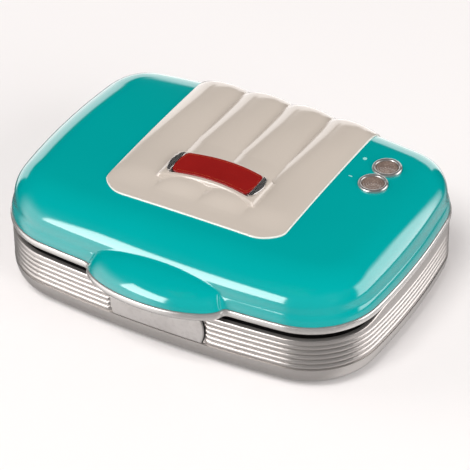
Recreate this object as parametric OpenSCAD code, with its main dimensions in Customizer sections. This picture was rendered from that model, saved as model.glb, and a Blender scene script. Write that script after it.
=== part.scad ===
// Closed-lid waffle maker: ribbed base, moulded lid with a lobed inlay, two die-cast waffle plates.
// Millimetres, +Z up, front towards -Y. Origin: middle of the bounding box, on the table.

/* [Body outline] */
// Width of the body over its sides
body_w = 250; // [230:1:270]
// Depth of the body without handle and hinge
body_d = 178; // [165:1:190]
// Radius of the two front corners
front_corner_r = 46; // [40:1:52]
// Radius of the two rear corners
rear_corner_r = 36; // [33:1:44]
// Bulge radius of the front wall
front_bulge_r = 820; // [600:10:1200]
// Bulge radius of the rear wall
rear_bulge_r = 720; // [600:10:1200]
// Bulge radius of the side walls
side_bulge_r = 450; // [350:10:700]

/* [Base] */
// Height of the rubber feet under the base shell
foot_h = 3; // [2:0.5:5]
// Height of the base rim above the table at the front
base_rim_z = 37.2; // [36.5:0.1:38]
// How much higher the base rim is along the rear half
rim_rise = 4.8; // [0:0.1:5]
// Number of ribs round the base wall
rib_count = 5; // [4:1:6]
// Height of one rib with its groove
rib_pitch = 3.6; // [3:0.1:3.8]
// Depth of the groove between two ribs
rib_depth = 1.3; // [0.6:0.1:1.6]
// Wall thickness of the base shell
base_wall = 2.4; // [1.8:0.1:3]

/* [Lid] */
// Height of the lid's lower edge above the table
lid_edge_z = 48; // [47.5:0.1:50]
// Height of the upright skirt of the lid
lid_skirt_h = 7.6; // [6:0.1:9]
// Height of the rounded shoulder above the skirt
lid_shoulder_h = 18.8; // [15:0.1:22]
// Width of the rounded shoulder at the front, seen from above
shoulder_w_front = 28; // [24:0.5:30]
// Width of the rounded shoulder at the sides
shoulder_w_side = 25; // [20:0.5:26]
// Width of the rounded shoulder at the rear
shoulder_w_rear = 20; // [17:0.5:22]
// Fullness of the shoulder curve at the front, 2 is an ellipse
full_front = 2.1; // [2:0.1:2.6]
// Fullness of the shoulder curve at the sides
full_side = 2.5; // [2:0.1:3]
// Fullness of the shoulder curve at the rear
full_rear = 2.9; // [2.3:0.1:3.5]
// Extra height of the crowned top
lid_crown = 2.6; // [1:0.1:4]
// Wall thickness of the lid moulding
lid_wall = 2.4; // [1.8:0.1:3]
// Height of the silver trim ring under the lid
trim_h = 5.2; // [4:0.1:5.4]
// How far the trim ring stands proud of the lid
trim_proud = 0.9; // [0.5:0.1:1.5]

/* [Handle] */
// Width of the handle tongue
handle_w = 91; // [80:1:110]
// How far the tongue reaches in front of the lid
handle_reach = 17; // [12:0.5:22]
// Height of the tongue's crease above the lid edge at its two ends
crease_end_h = 6.5; // [5:0.1:7.5]
// How much higher the crease is in the middle
crease_rise = 8.8; // [4:0.1:10]

/* [Inlay panel] */
// Width of the lobed inlay panel
panel_w = 121; // [110:1:124]
// Distance from the body's middle to the panel's front edge
panel_front = 52; // [46:1:56]
// Radius of the panel's front corners
panel_corner_r = 17; // [12:1:20]
// Number of lobes across the panel
lobe_count = 4; // [2:1:6]
// Height of a lobe's crest above its valley at the rear
lobe_h = 3.8; // [2:0.1:5]
// Thickness of the panel at its edge
panel_edge_h = 1.1; // [0.8:0.1:2]
// Height of the raised seat round the badge
badge_seat_h = 3; // [1.6:0.1:3.4]
// Height of the two round noses in front of the badge
nose_h = 1.3; // [0.5:0.1:2]

/* [Badge and lamps] */
// Width of the badge frame
badge_w = 60.4; // [56:0.2:66]
// Height of the badge frame seen from above
badge_d = 21.6; // [18:0.2:24]
// Distance of the badge's front edge from the body's middle
badge_front = 21.4; // [18:0.2:26]
// Radius of the badge's arched rear edge
badge_rear_r = 87; // [70:1:160]
// Radius of the badge's arched front edge
badge_front_r = 100; // [80:5:400]
// Outer diameter of a lamp bezel
lamp_d = 18.4; // [14:0.2:18.6]
// Distance of the lamps from the middle, towards the right
lamp_x = 83.6; // [76:0.5:86]
// Distance of the front lamp behind the body's middle
lamp_y = 27.4; // [20:0.5:32]
// Distance between the two lamps
lamp_pitch = 18.8; // [18.6:0.1:22]

/* [Waffle plates] */
// Width of a waffle plate
plate_w = 204; // [190:1:206]
// Depth of a waffle plate
plate_d = 136; // [120:1:138]
// Depth of one waffle mould below the plate's rim
mould_depth = 7; // [5:0.5:8]
// Height of the grid bars in the mould
grid_h = 3.6; // [2:0.1:3.8]
// Number of waffle squares across one mould
grid_nx = 4; // [3:1:5]
// Number of waffle squares along one mould
grid_ny = 5; // [4:1:6]

/* [Hinge] */
// Radius of the hinge pins
pin_r = 2; // [1.5:0.1:2.5]
// Radial play of the lid lug on its pin
pin_play = 0.05; // [0.02:0.01:0.1]
// Distance of each hinge from the body's middle
hinge_x = 55; // [40:1:66]
// Distance of the hinge axis behind the rear wall
hinge_back = 4.5; // [4.2:0.1:7]
// Height of the hinge axis above the table
hinge_z = 42.4; // [41.5:0.1:43.5]

/* [Cord inlet] */
// Diameter of the hole for the supply cord
cord_hole_d = 7.2; // [5:0.1:9]

/* [Hidden] */
half_w = body_w / 2;
half_d = body_d / 2;
play = 0.1;                     // face clearance between stacked pieces
knuckle_r = pin_r + 2;
hinge_y = half_d + hinge_back;
shift_y = (half_d + handle_reach + trim_proud - hinge_y - knuckle_r) / 2;
skirt_top = lid_edge_z + lid_skirt_h;
lid_draft = 1.9;                // how much the skirt leans in over its height
lid_top_z = skirt_top + lid_shoulder_h;
trim_bottom = lid_edge_z - play - trim_h;
part_z = 40;                    // plane where the two waffle plates meet
plate_gap = 0.4;
plate_corner = 14;
plate_h = 9.6;
mould_w = 92;
mould_d = 120;
mould_x = 49.5;                 // middle of each mould from the middle of the plate
bar_w = 3.2;
bar_tip = 1.6;
frame_open_w = plate_w + 1;
frame_open_d = plate_d + 1;
cover_top = foot_h + 2;
plate_bottom = part_z - plate_gap / 2 - plate_h;
upper_plate_top = part_z + plate_gap / 2 + plate_h;
frame_step = 32;                // ledge in the shell that carries the top frame
post_x = 106.6;                 // screw posts between the plate frame and the bottom cover
post_y = 36;
foot_x = 98;
foot_y = 50;
plaque_half = 32;
element_r = 3.3;                // tubular heating element
element_w = 150;
element_d = 76;
lobe_w = panel_w / lobe_count;
lamp_hole_r = 5.4;
badge_sunk = 1.4;               // depth of the badge's pocket below the seat
badge_corner_r = 4;
badge_bulge = 1.4;              // how much each end of the badge bulges
badge_cheek = 3.4;              // bare frame left at each end of the plate
handle_taper = 3;               // the tongue's crease is this much narrower on each side
lug_w = 11.2;
ear_w = 4;
ear_play = 0.4;
clip_x = 55;
$fn = 64;

// ---------- body outline: eight tangent arcs ----------

// Middle of a front-right corner arc between a long bulge and the side bulge
function corner(corner_r, bulge_r) =
    let (y0 = bulge_r - half_d, r0 = bulge_r - corner_r,
         x1 = half_w - side_bulge_r, r1 = side_bulge_r - corner_r,
         q = norm([x1, y0]), l = (r0 * r0 - r1 * r1 + q * q) / (2 * q),
         h = sqrt(r0 * r0 - l * l))
    [l * x1 / q + h * y0 / q, y0 - l * y0 / q + h * x1 / q];

front_c = corner(front_corner_r, front_bulge_r);
rear_c = corner(rear_corner_r, rear_bulge_r);
front_a = atan2(front_c.x, front_bulge_r - half_d - front_c.y);
front_b = 90 - atan2(-front_c.y, front_c.x - half_w + side_bulge_r);
rear_a = atan2(rear_c.x, rear_bulge_r - half_d - rear_c.y);
rear_b = 90 - atan2(-rear_c.y, rear_c.x - half_w + side_bulge_r);

// Point and outward normal on the right half, for a normal turned t degrees from the front
function rim_point(t) =
    let (n = [sin(t), -cos(t)],
         c = t <= front_a ? [0, front_bulge_r - half_d]
           : t <= front_b ? front_c
           : t <= 180 - rear_b ? [half_w - side_bulge_r, 0]
           : t <= 180 - rear_a ? [rear_c.x, -rear_c.y]
           : [0, half_d - rear_bulge_r],
         r = t <= front_a ? front_bulge_r
           : t <= front_b ? front_corner_r
           : t <= 180 - rear_b ? side_bulge_r
           : t <= 180 - rear_a ? rear_corner_r
           : rear_bulge_r)
    [c.x + r * n.x, c.y + r * n.y, n.x, n.y];

function steps(a, b, n) = [for (i = [1:n]) a + (b - a) * i / n];
function mirrored(half) = concat(half, [for (i = [len(half) - 2:-1:1])
    [-half[i].x, half[i].y, -half[i][2], half[i][3]]]);

// Right half from front middle to rear middle: front steps given, then corners and sides
function rim(front_t, nc) = mirrored([for (t = concat(front_t, steps(front_a, front_b, nc),
    steps(front_b, 180 - rear_b, 5), steps(180 - rear_b, 180 - rear_a, nc),
    steps(180 - rear_a, 180, 4))) rim_point(t)]);

// Shares of the handle's half width at which its curved edge is sampled
tongue_at = [0, 0.25, 0.48, 0.66, 0.79, 0.88, 0.94, 0.98, 1.0, 1.12, 1.35];
function front_turn(x) = asin(x / front_bulge_r);
// The plain rim has an extra pair of samples where the rib recess for the plaque ends
plain_rim = rim([for (x = [0, 17, plaque_half + 1.4, plaque_half + 2, 52]) front_turn(x)], 10);
lid_rim = rim(concat([for (k = tongue_at) front_turn(k * handle_w / 2)], [front_a]), 9);

function shifted(q, d) = [q.x + d * q[2], q.y + d * q[3]];
function outline(d) = [for (q = plain_rim) shifted(q, d)];

// ---------- skins ----------

// Closed ring skin: rings of equal length, last ring joined to the first
module ring_skin(rings) {
    n = len(rings[0]);
    m = len(rings);
    polyhedron(points = [for (r = rings) each r],
        faces = [for (i = [0:m - 1], j = [0:n - 1])
            let (a = i * n, b = ((i + 1) % m) * n, k = (j + 1) % n)
            each [[a + j, b + k, a + k], [a + j, b + j, b + k]]]);
}

// Skin from one pole point over the rings to another pole point
module capped_skin(first, rings, last) {
    n = len(rings[0]);
    m = len(rings);
    polyhedron(points = concat([first], [for (r = rings) each r], [last]),
        faces = concat(
            [for (j = [0:n - 1]) [0, 1 + j, 1 + (j + 1) % n]],
            [for (i = [0:m - 2], j = [0:n - 1])
                let (a = 1 + i * n, b = a + n, k = (j + 1) % n)
                each [[a + j, b + k, a + k], [a + j, b + j, b + k]]],
            [for (j = [0:n - 1]) let (a = 1 + (m - 1) * n) [a + (j + 1) % n, a + j, 1 + m * n]]));
}

module placed() { translate([0, shift_y, 0]) children(); }

module slab(d, z0, z1) {
    translate([0, 0, z0]) linear_extrude(z1 - z0) polygon(outline(d));
}

module rounded_block(w, d, r, z0, z1) {
    translate([0, 0, z0]) linear_extrude(z1 - z0) union() {
        square([w - 2 * r, d], center = true);
        square([w, d - 2 * r], center = true);
        for (x = [-1, 1], y = [-1, 1]) translate([x * (w / 2 - r), y * (d / 2 - r)]) circle(r);
    }
}

// ---------- lid surface ----------

function smooth(t) = let (c = min(1, max(0, t))) c * c * (3 - 2 * c);
function crown_at(x, y) = lid_crown * (1 - pow(x / half_w, 2) - pow(y / half_d, 2));

// Value that changes round the body, from the front over the sides to the rear
function around(q, front, side, rear) = let (t = abs(atan2(q[2], -q[3])))
    t < 90 ? front + (side - front) * smooth(t / 90) : side + (rear - side) * smooth((t - 90) / 60);
function fullness(q) = around(q, full_front, full_side, full_rear);
function shoulder_w(q) = around(q, shoulder_w_front, shoulder_w_side, shoulder_w_rear);

// How far the plain lid stands in from its edge, at a height above that edge
function lid_inset(q, h) = h <= lid_skirt_h ? lid_draft * pow(h / lid_skirt_h, 2)
    : let (up = min(1, (h - lid_skirt_h) / lid_shoulder_h), f = fullness(q))
      lid_draft + shoulder_w(q) * (1 - pow(1 - pow(up, f), 1 / f));

// Half-elliptic outline of the tongue: 1 in the middle, 0 at its ends
function arch(q, half) = q.y > 0 || abs(q.x) >= half ? 0 : sqrt(1 - pow(q.x / half, 2));
function tongue_out(q, half) = handle_reach * arch(q, half);

// Row up the skirt and round the tongue's edge, from its lower edge (0) to its crease (90)
function tongue_row(angle, wall) = [for (q = lid_rim)
    let (a = arch(q, handle_w / 2 - wall - handle_taper * sin(angle)),
         h = (crease_end_h + crease_rise * a) * sin(angle),
         p = shifted(q, handle_reach * a * cos(angle) - lid_inset(q, h) - wall))
    [p.x, p.y, lid_edge_z + h - wall * sin(angle)]];

// Row over the rounded shoulder, from the crease (0) to the flat top (1)
function shoulder_row(share, wall) = [for (q = lid_rim)
    let (start = crease_end_h + crease_rise * arch(q, handle_w / 2 - wall - handle_taper),
         h = start + (lid_skirt_h + lid_shoulder_h - start) * pow(share, 2 / fullness(q)),
         p = shifted(q, -lid_inset(q, h) - wall * (1 - share)),
         up = max(0, (h - lid_skirt_h) / lid_shoulder_h))
    [p.x, p.y, lid_edge_z + h + up * crown_at(p.x, p.y) - wall]];

// Row of the flat top, shrunk towards its middle
function top_row(scale, wall) = [for (q = lid_rim)
    let (p = shifted(q, -lid_draft - shoulder_w(q)) * scale)
    [p.x, p.y, lid_top_z + crown_at(p.x, p.y) - wall]];

function lid_outside() = concat(
    [for (a = [0, 14, 30, 46, 62, 76]) tongue_row(a, 0)],
    [for (k = [0, 9, 20, 32, 44, 56, 68, 79, 90]) shoulder_row(sin(k), 0)],
    [for (s = [0.75, 0.5, 0.25]) top_row(s, 0)]);

function lid_inside() = concat([top_row(0.5, lid_wall)],
    [for (k = [90, 66, 44, 22, 0]) shoulder_row(sin(k), lid_wall)],
    [for (a = [50, 0]) tongue_row(a, lid_wall)]);

// Height of the lid's outside over a point behind its front shoulder
function rear_inset(x, y) = half_d - y - x * x / (2 * rear_bulge_r);
function rear_share(x, y) = min(1, max(0, 1 - (rear_inset(x, y) - lid_draft) / shoulder_w_rear));
function rear_up(x, y) = pow(1 - pow(rear_share(x, y), full_rear), 1 / full_rear);
function lid_z(x, y) = skirt_top + rear_up(x, y) * (lid_shoulder_h + crown_at(x, y));

module lid_shell() {
    color("darkturquoise") difference() {
        placed() capped_skin([0, 0, lid_top_z - lid_wall + lid_crown],
            concat(lid_inside(), lid_outside()), [0, 0, lid_top_z + lid_crown]);
        for (i = [0, 1]) at_lamp(i) translate([0, 0, -8]) cylinder(h = 12, r = lamp_hole_r);
    }
}

// Silver bead that follows the lid's edge and wraps under the tongue
function trim_ring_row(d, z, grow) = [for (q = lid_rim)
    let (p = shifted(q, tongue_out(q, handle_w / 2 + grow) + d)) [p.x, p.y, z]];

module lid_trim_ring() {
    top = lid_edge_z - play;
    color("silver") placed() ring_skin([
        trim_ring_row(-lid_wall, top, -lid_wall), trim_ring_row(-lid_wall, trim_bottom, -lid_wall),
        trim_ring_row(trim_proud * 0.5, trim_bottom, 0.5),
        trim_ring_row(trim_proud, trim_bottom + trim_h * 0.3, 0.9),
        trim_ring_row(trim_proud, trim_bottom + trim_h * 0.7, 0.9),
        trim_ring_row(trim_proud * 0.4, top, 0.4)]);
}

// Flat plate that closes the hollow tongue from below, clear of the trim ring all round
module handle_liner() {
    inset = lid_wall + 0.6;
    half = handle_w / 2 - inset;
    n = 14;
    curve = [for (i = [-n:n]) let (x = half * i / n)
        [x, x * x / (2 * front_bulge_r) - half_d + inset - (handle_reach - 0.3) * arch([x, -1], half)]];
    back_edge = lid_wall + 0.2;
    color("dimgray") placed() translate([0, 0, trim_bottom + 0.6]) linear_extrude(3)
        intersection() {
            polygon(curve);
            translate([-half, -half_d - half]) square([2 * half, half + back_edge]);
        }
}

// ---------- inlay panel ----------

badge_seat_run = 1.3;           // width of the slope round the badge's seat
badge_seat_rim = 1.6;           // level part of the seat outside the badge
nose_front = 43;                // distance of the noses' front end from the body's middle
nose_run = 15;                  // length over which a nose rises
seat_front = half_d + badge_front + badge_seat_rim + badge_seat_run;
seat_rear = half_d + badge_front - badge_d - badge_seat_rim - badge_seat_run;
corner_inset = half_d + panel_front - panel_corner_r;
function rear_run(k) = lid_draft + shoulder_w_rear * (1 - pow(cos(k), 2 / full_rear));

// Inset rows from the front edge back: round front corners, noses, badge seat, rear shoulder
panel_rows = concat(
    [for (k = [0, 24, 46, 68, 90]) half_d + panel_front - panel_corner_r * (1 - cos(k))],
    steps(corner_inset, seat_front, 3), [seat_front - badge_seat_run],
    steps(seat_front - badge_seat_run, seat_rear + badge_seat_run, 2), [seat_rear],
    steps(seat_rear, rear_run(84), 5),
    [for (k = [72, 58, 44, 30, 16, 7, 3]) rear_run(k)]);

function panel_half(i) = let (d = min(panel_corner_r, half_d + panel_front - i))
    panel_w / 2 - panel_corner_r + sqrt(max(0, 2 * panel_corner_r * d - d * d));

// 0 in a valley, 1 on a crest
function lobe(x) = let (f = (x + panel_w / 2) / lobe_w, g = abs(2 * (f - floor(f)) - 1))
    1 - pow(g, 3.5);
function lobe_rise(x, y) = lobe_h * lobe(x)
    * (0.4 * smooth((y + 45) / 20) + 0.6 * smooth((y + 10) / 62));
function nose_rise(x, y) = nose_h * lobe(x) * smooth((lobe_w - abs(x)) / 3 + 0.3)
    * smooth((y + nose_front) / nose_run);

// Level seat round the badge, sloping off on all sides
function seat_rise(x, y) =
    let (rear = badge_d - badge_front - x * x / (2 * badge_rear_r),
         front = -badge_front - x * x / (2 * badge_front_r),
         away = max(y - rear, front - y) - badge_seat_rim)
    badge_seat_h * smooth(1 - (abs(x) - badge_w / 2 - 0.6) / 4) * smooth(1 - away / badge_seat_run);
function end_fade(x, y) = smooth((y + panel_front) / 9) * smooth((rear_inset(x, y) - 1) / 14);
function panel_rise(x, y) = panel_edge_h
    + end_fade(x, y) * max(lobe_rise(x, y), nose_rise(x, y), seat_rise(x, y));

// Point on the panel, lifted square to the lid surface
function panel_point(u, i, raised) =
    let (half = panel_half(i), x = u * half, bow = x * x / (2 * rear_bulge_r),
         y = half_d - i - bow * smooth(1.3 - i / half_d),
         f = rear_up(x, y),
         g = [pow(rear_share(x, y), full_rear - 1) / shoulder_w_rear,
              pow(f, full_rear - 1) / lid_shoulder_h],
         n = g / norm(g),
         t = raised ? panel_rise(x, y) : -0.15)
    [x, y + t * n[0], skirt_top + f * (lid_shoulder_h + crown_at(x, y)) + t * n[1]];

module panel_slab() {
    nu = 8 * lobe_count;
    nr = len(panel_rows);
    top = [for (r = [0:nr - 1], c = [0:nu]) panel_point(2 * c / nu - 1, panel_rows[r], true)];
    low = [for (r = [0:nr - 1], c = [0:nu]) panel_point(2 * c / nu - 1, panel_rows[r], false)];
    k = nr * (nu + 1);
    polyhedron(points = concat(top, low), faces = concat(
        [for (r = [0:nr - 2], c = [0:nu - 1]) let (a = r * (nu + 1) + c, b = a + nu + 1)
            each [[a, b + 1, a + 1], [a, b, b + 1],
                [k + a, k + a + 1, k + b + 1], [k + a, k + b + 1, k + b]]],
        [for (c = [0:nu - 1]) each [[c, c + 1, k + c + 1], [c, k + c + 1, k + c]]],
        [for (c = [0:nu - 1]) let (a = (nr - 1) * (nu + 1) + c)
            each [[a + 1, a, k + a], [a + 1, k + a, k + a + 1]]],
        [for (r = [0:nr - 2]) let (a = r * (nu + 1), b = a + nu + 1)
            each [[b, a, k + a], [b, k + a, k + b]]],
        [for (r = [0:nr - 2]) let (a = r * (nu + 1) + nu, b = a + nu + 1)
            each [[a, b, k + b], [a, k + b, k + a]]]));
}

// The lobed slab with the pocket that the badge sits in
module inlay_panel() {
    color("antiquewhite") placed() difference() {
        panel_slab();
        badge_bar(-play, 0, badge_z, badge_z + 5);
    }
}

// ---------- badge ----------

badge_z = lid_z(0, badge_d / 2 - badge_front) + panel_edge_h + badge_seat_h - badge_sunk;

// Outline of the badge drawn in by an inset, with arched long edges, bulged ends, round corners
function badge_outline(inset, end_inset) =
    let (half = badge_w / 2 - inset - end_inset, r = badge_corner_r - inset, x = half - r,
         rear = badge_d - badge_front - inset, front = -badge_front + inset,
         rear_y = rear - x * x / (2 * badge_rear_r) - r,
         front_y = front - x * x / (2 * badge_front_r) + r,
         right = concat(
            [for (k = [0:5]) [x * k / 6, rear - pow(x * k / 6, 2) / (2 * badge_rear_r)]],
            [for (a = [90:-18:0]) [x + r * cos(a), rear_y + r * sin(a)]],
            [for (k = [1:3]) [half + badge_bulge * sin(45 * k), rear_y + (front_y - rear_y) * k / 4]],
            [for (a = [0:-18:-90]) [x + r * cos(a), front_y + r * sin(a)]],
            [for (k = [5:-1:0]) [x * k / 6, front - pow(x * k / 6, 2) / (2 * badge_front_r)]]))
    concat(right, [for (k = [len(right) - 2:-1:1]) [-right[k].x, right[k].y]]);

module badge_bar(inset, end_inset, z0, z1) {
    translate([0, 0, z0]) linear_extrude(z1 - z0) polygon(badge_outline(inset, end_inset));
}

// Tray whose two raised cheeks hold the plate between them
module badge_frame() {
    color("gainsboro") placed() difference() {
        badge_bar(0, 0, badge_z, badge_z + 2.4);
        badge_bar(-1, badge_cheek + 0.9, badge_z + 0.9, badge_z + 4);
    }
}

module badge_plate() {
    color("firebrick") placed() badge_bar(0, badge_cheek, badge_z + 0.9, badge_z + 2.3);
}

// ---------- indicator lamps ----------

module at_lamp(i) {
    y = lamp_y + i * lamp_pitch;
    placed() translate([lamp_x, y, lid_z(lamp_x, y)]) children();
}

// Bezel: rolled ring round the lens
module lamp_bezel(i) {
    r = lamp_d / 2;
    color("gainsboro") at_lamp(i) rotate_extrude() polygon(concat(
        [[r - 2.2, -0.3], [r - 0.2, -0.3]],
        [for (k = [0:30:180]) [r - 1.1 + 1.1 * cos(k), 0.9 + 1.1 * sin(k)]]));
}

// Lens: shallow dish inside the bezel, with a plug that fills the hole in the lid
module lamp_lens(i) {
    r = lamp_d / 2 - 2.3;
    plug = lamp_hole_r - 0.1;
    color("rosybrown") at_lamp(i) rotate_extrude() polygon([[0, -3.2], [plug, -3.2], [plug, 0.3],
        [r, 0.3], [r, 1.2], [r - 1.4, 1.8], [r - 3, 1.4], [0, 1.6]]);
}

module lamp_holder(i) {
    color("whitesmoke") at_lamp(i) difference() {
        translate([0, 0, -13.5]) cylinder(h = 10.2, r = 5);
        translate([0, 0, -11.5]) cylinder(h = 10, r = 3.6);
    }
}

module lamp_bulb(i) {
    color("orange") at_lamp(i) translate([0, 0, -11.4]) {
        cylinder(h = 5, r = 2.2);
        translate([0, 0, 5]) sphere(2.2);
    }
}

// ---------- base ----------

function rim_z(y) = base_rim_z + rim_rise * smooth((y + 60) / 32);
rib_top = base_rim_z - 3.4;
rib_bottom = rib_top - rib_count * rib_pitch;

// Wall section from the rim down the ribs, round the bevel and up the inside: offset, height
function wall_section(x, y) =
    let (crest = abs(x) < plaque_half + 1.7 && y < 0 ? -rib_depth : -0.1, inner = -base_wall - 1.3)
    concat([[-1.3, rim_z(y)], [-0.3, rim_z(y) - 0.8], [-0.3, rib_top + 0.5]],
    [for (i = [0:rib_count - 1]) each [[-rib_depth, rib_top - i * rib_pitch],
        [crest, rib_top - (i + 0.28) * rib_pitch], [crest, rib_top - (i + 0.76) * rib_pitch]]],
    [[-rib_depth, rib_bottom], [0, rib_bottom - 0.8], [-0.4, rib_bottom - 4],
     [-2.6, foot_h + 2.2], [-7, foot_h], [-7.8, foot_h], [-7.8, cover_top + play],
     [-12, cover_top + play], [-12, cover_top + 1.6], [-5.2, cover_top + 1.6],
     [inner, foot_h + 6], [inner, frame_step - play], [inner + 1, frame_step - play],
     [inner + 1, rim_z(y)]]);

module base_shell() {
    sections = [for (q = plain_rim) wall_section(q.x, q.y)];
    color("silver") placed() difference() {
        ring_skin([for (k = [len(sections[0]) - 1:-1:0]) [for (j = [0:len(plain_rim) - 1])
            let (s = sections[j][k], p = shifted(plain_rim[j], s[0])) [p.x, p.y, s[1]]]]);
        translate([inlet_x, half_d + 5, inlet_z]) rotate([90, 0, 0])
            cylinder(h = 12, r = cord_hole_d / 2 + 1.7);
    }
}

module bottom_cover() {
    color("slategray") placed() difference() {
        slab(-8.1, foot_h, cover_top);
        for (x = [-6:6]) translate([x * 9, 0, foot_h - 1]) rounded_block(3.2, 34, 1.5, 0, 6);
        for (x = [-1, 1], y = [-1, 1]) {
            translate([x * foot_x, y * foot_y, foot_h - 1]) cylinder(h = 5, r = 3.1);
            translate([x * post_x, y * post_y, foot_h - 1]) cylinder(h = 5, r = 1.8);
        }
    }
}

module foot(x, y) {
    color("black") placed() translate([x * foot_x, y * foot_y, 0]) rotate_extrude()
        polygon([[0, 0], [7, 0], [8, 1], [8, foot_h], [3, foot_h], [3, cover_top],
            [3.8, cover_top], [3.2, cover_top + 1.4], [0, cover_top + 1.4]]);
}

module cover_screws() {
    color("lightgray") placed() for (x = [-1, 1], y = [-1, 1])
        translate([x * post_x, y * post_y, 0]) {
            translate([0, 0, foot_h - 1.6]) cylinder(h = 1.6, r = 3.2);
            translate([0, 0, foot_h - 0.2]) cylinder(h = 11, r = 1.5);
        }
}

// Smooth plaque set in the ribs, with bulged ends
module front_plaque() {
    h = rib_top - rib_bottom - 0.4;
    end_r = 20;
    band = [for (i = [-8:8]) let (q = rim_point(front_turn(abs(i) * 4.2))) [i < 0 ? -q.x : q.x, q.y]];
    color("lightsteelblue") placed() intersection() {
        translate([0, 0, rib_bottom + 0.2]) linear_extrude(h) polygon(concat(
            [for (p = band) [p.x, p.y - 0.3]], [for (i = [16:-1:0]) [band[i].x, band[i].y + 1.2]]));
        translate([0, -half_d + 20, rib_bottom + 0.2 + h / 2]) rotate([90, 0, 0])
            linear_extrude(40) union() {
                square([2 * (plaque_half - end_r), 2 * h], center = true);
                for (s = [-1, 1]) translate([s * (plaque_half - end_r), 0]) circle(end_r);
            }
    }
}

// Frame between shell and plate, seen as the dark step in the gap under the lid
module base_top_frame() {
    color("dimgray") placed() difference() {
        union() {
            slab(-base_wall - 0.5, frame_step, part_z - 4.6);
            slab(-8, plate_bottom, part_z - 1);
            for (x = [-1, 1], y = [-1, 1]) translate([x * post_x, y * post_y, cover_top])
                cylinder(h = frame_step - cover_top, r = 3.6);
        }
        rounded_block(frame_open_w, frame_open_d, plate_corner, part_z - 20, part_z + 5);
        for (x = [-1, 1], y = [-1, 1]) translate([x * post_x, y * post_y, cover_top - 1])
            cylinder(h = 12, r = 1.5);
    }
}

module waffle_plate() {
    difference() {
        union() {
            rounded_block(plate_w, plate_d, plate_corner, -plate_h, 0);
            rounded_block(element_w + 22, element_d + 22, 20, -plate_h - 3, -plate_h);
        }
        for (s = [-1, 1]) translate([s * mould_x, 0]) difference() {
            rounded_block(mould_w, mould_d, 8, -mould_depth, 2);
            grid_bars();
        }
    }
}

// Wedge-topped bars that press the waffle squares
module grid_bars() {
    px = mould_w / grid_nx;
    py = mould_d / grid_ny;
    section = [[-bar_w / 2, 0], [bar_w / 2, 0], [bar_tip / 2, grid_h], [-bar_tip / 2, grid_h]];
    translate([0, 0, -mould_depth - 0.01]) {
        for (i = [1:grid_nx - 1]) translate([(i - grid_nx / 2) * px, mould_d / 2, 0])
            rotate([90, 0, 0]) linear_extrude(mould_d) polygon(section);
        for (j = [1:grid_ny - 1]) translate([-mould_w / 2, (j - grid_ny / 2) * py, 0])
            rotate([90, 0, 90]) linear_extrude(mould_w) polygon(section);
    }
}

module lower_plate() {
    color("darkslategray") placed() translate([0, 0, part_z - plate_gap / 2]) waffle_plate();
}

module upper_plate() {
    color("darkslategray") placed() translate([0, 0, part_z + plate_gap / 2])
        mirror([0, 0, 1]) waffle_plate();
}

// U-shaped tubular element with two cold ends
module element() {
    r = 16;
    x = element_w / 2 - r;
    y = element_d / 2 - r;
    for (s = [-1, 1]) {
        translate([s * (x + r), -y, 0]) rotate([-90, 0, 0]) cylinder(h = 2 * y, r = element_r);
        translate([s * x, -y, 0]) rotate([0, 0, s > 0 ? -90 : 180])
            rotate_extrude(angle = 90) translate([r, 0]) circle(element_r, $fn = 32);
        translate([s * x, y, 0]) rotate([0, 0, s > 0 ? 0 : 90])
            rotate_extrude(angle = 90) translate([r, 0]) circle(element_r, $fn = 32);
        translate([s * 15, y + r, 0]) rotate([0, s * 90, 0]) cylinder(h = x - 15, r = element_r);
    }
    translate([-x, -y - r, 0]) rotate([0, 90, 0]) cylinder(h = 2 * x, r = element_r);
}

lower_element_z = part_z - plate_gap / 2 - plate_h - 3 - element_r - play;
upper_element_z = part_z + plate_gap / 2 + plate_h + 3 + element_r + play;

module lower_heating_element() {
    color("gray") placed() translate([0, 0, lower_element_z]) element();
}

module upper_heating_element() {
    color("gray") placed() translate([0, 0, upper_element_z]) element();
}

// Bright tray that sends the element's heat back into the plate
module reflector() {
    difference() {
        rounded_block(plate_w - 20, plate_d - 16, 12, 0, 3);
        rounded_block(plate_w - 22, plate_d - 18, 11, 0.6, 4);
    }
}

module lower_reflector() {
    color("lightgray") placed() translate([0, 0, lower_element_z - element_r - play - 0.6])
        reflector();
}

module upper_reflector() {
    color("lightgray") placed() translate([0, 0, upper_element_z + element_r + play + 0.6])
        mirror([0, 0, 1]) reflector();
}

under_reflector = lower_element_z - element_r - play - 0.6;

// Bimetal thermostat: round can on a mounting strap
module thermostat() {
    color("tan") placed() translate([30, 0, under_reflector - play]) mirror([0, 0, 1]) {
        cylinder(h = 7, r = 8);
        translate([-14, -3, 0]) cube([28, 6, 1]);
        for (s = [-1, 1]) translate([s * 5 - 1.5, -0.4, 6.9]) cube([3, 0.8, 5]);
    }
}

module thermal_fuse() {
    color("lightyellow") placed() translate([-30, 0, under_reflector - play - 2.6])
        rotate([0, 90, 0]) {
            cylinder(h = 12, r = 2.5, center = true);
            cylinder(h = 34, r = 0.6, center = true);
        }
}

module terminal_block() {
    color("ivory") placed() translate([-16, 62, cover_top]) difference() {
        cube([32, 14, 9]);
        for (i = [0:2]) translate([6 + i * 10, 7, 2]) {
            cylinder(h = 8, r = 2);
            rotate([90, 0, 0]) cylinder(h = 20, r = 1.3, center = true);
        }
    }
}

inlet_x = 30;
inlet_z = 15;
inlet_y = rim_point(180 - asin(inlet_x / rear_bulge_r)).y;

// Grommet in the rear wall, with the bore for the supply cord
module cord_inlet_bush() {
    r = cord_hole_d / 2;
    color("black") placed() translate([inlet_x, inlet_y, inlet_z]) rotate([90, 0, 0])
        rotate_extrude() polygon([[r, -2], [r + 2.6, -2], [r + 2.6, -0.4], [r + 1.6, -0.4],
            [r + 1.6, 4.2], [r + 2.6, 4.2], [r + 2.6, 7], [r, 7]]);
}

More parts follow.
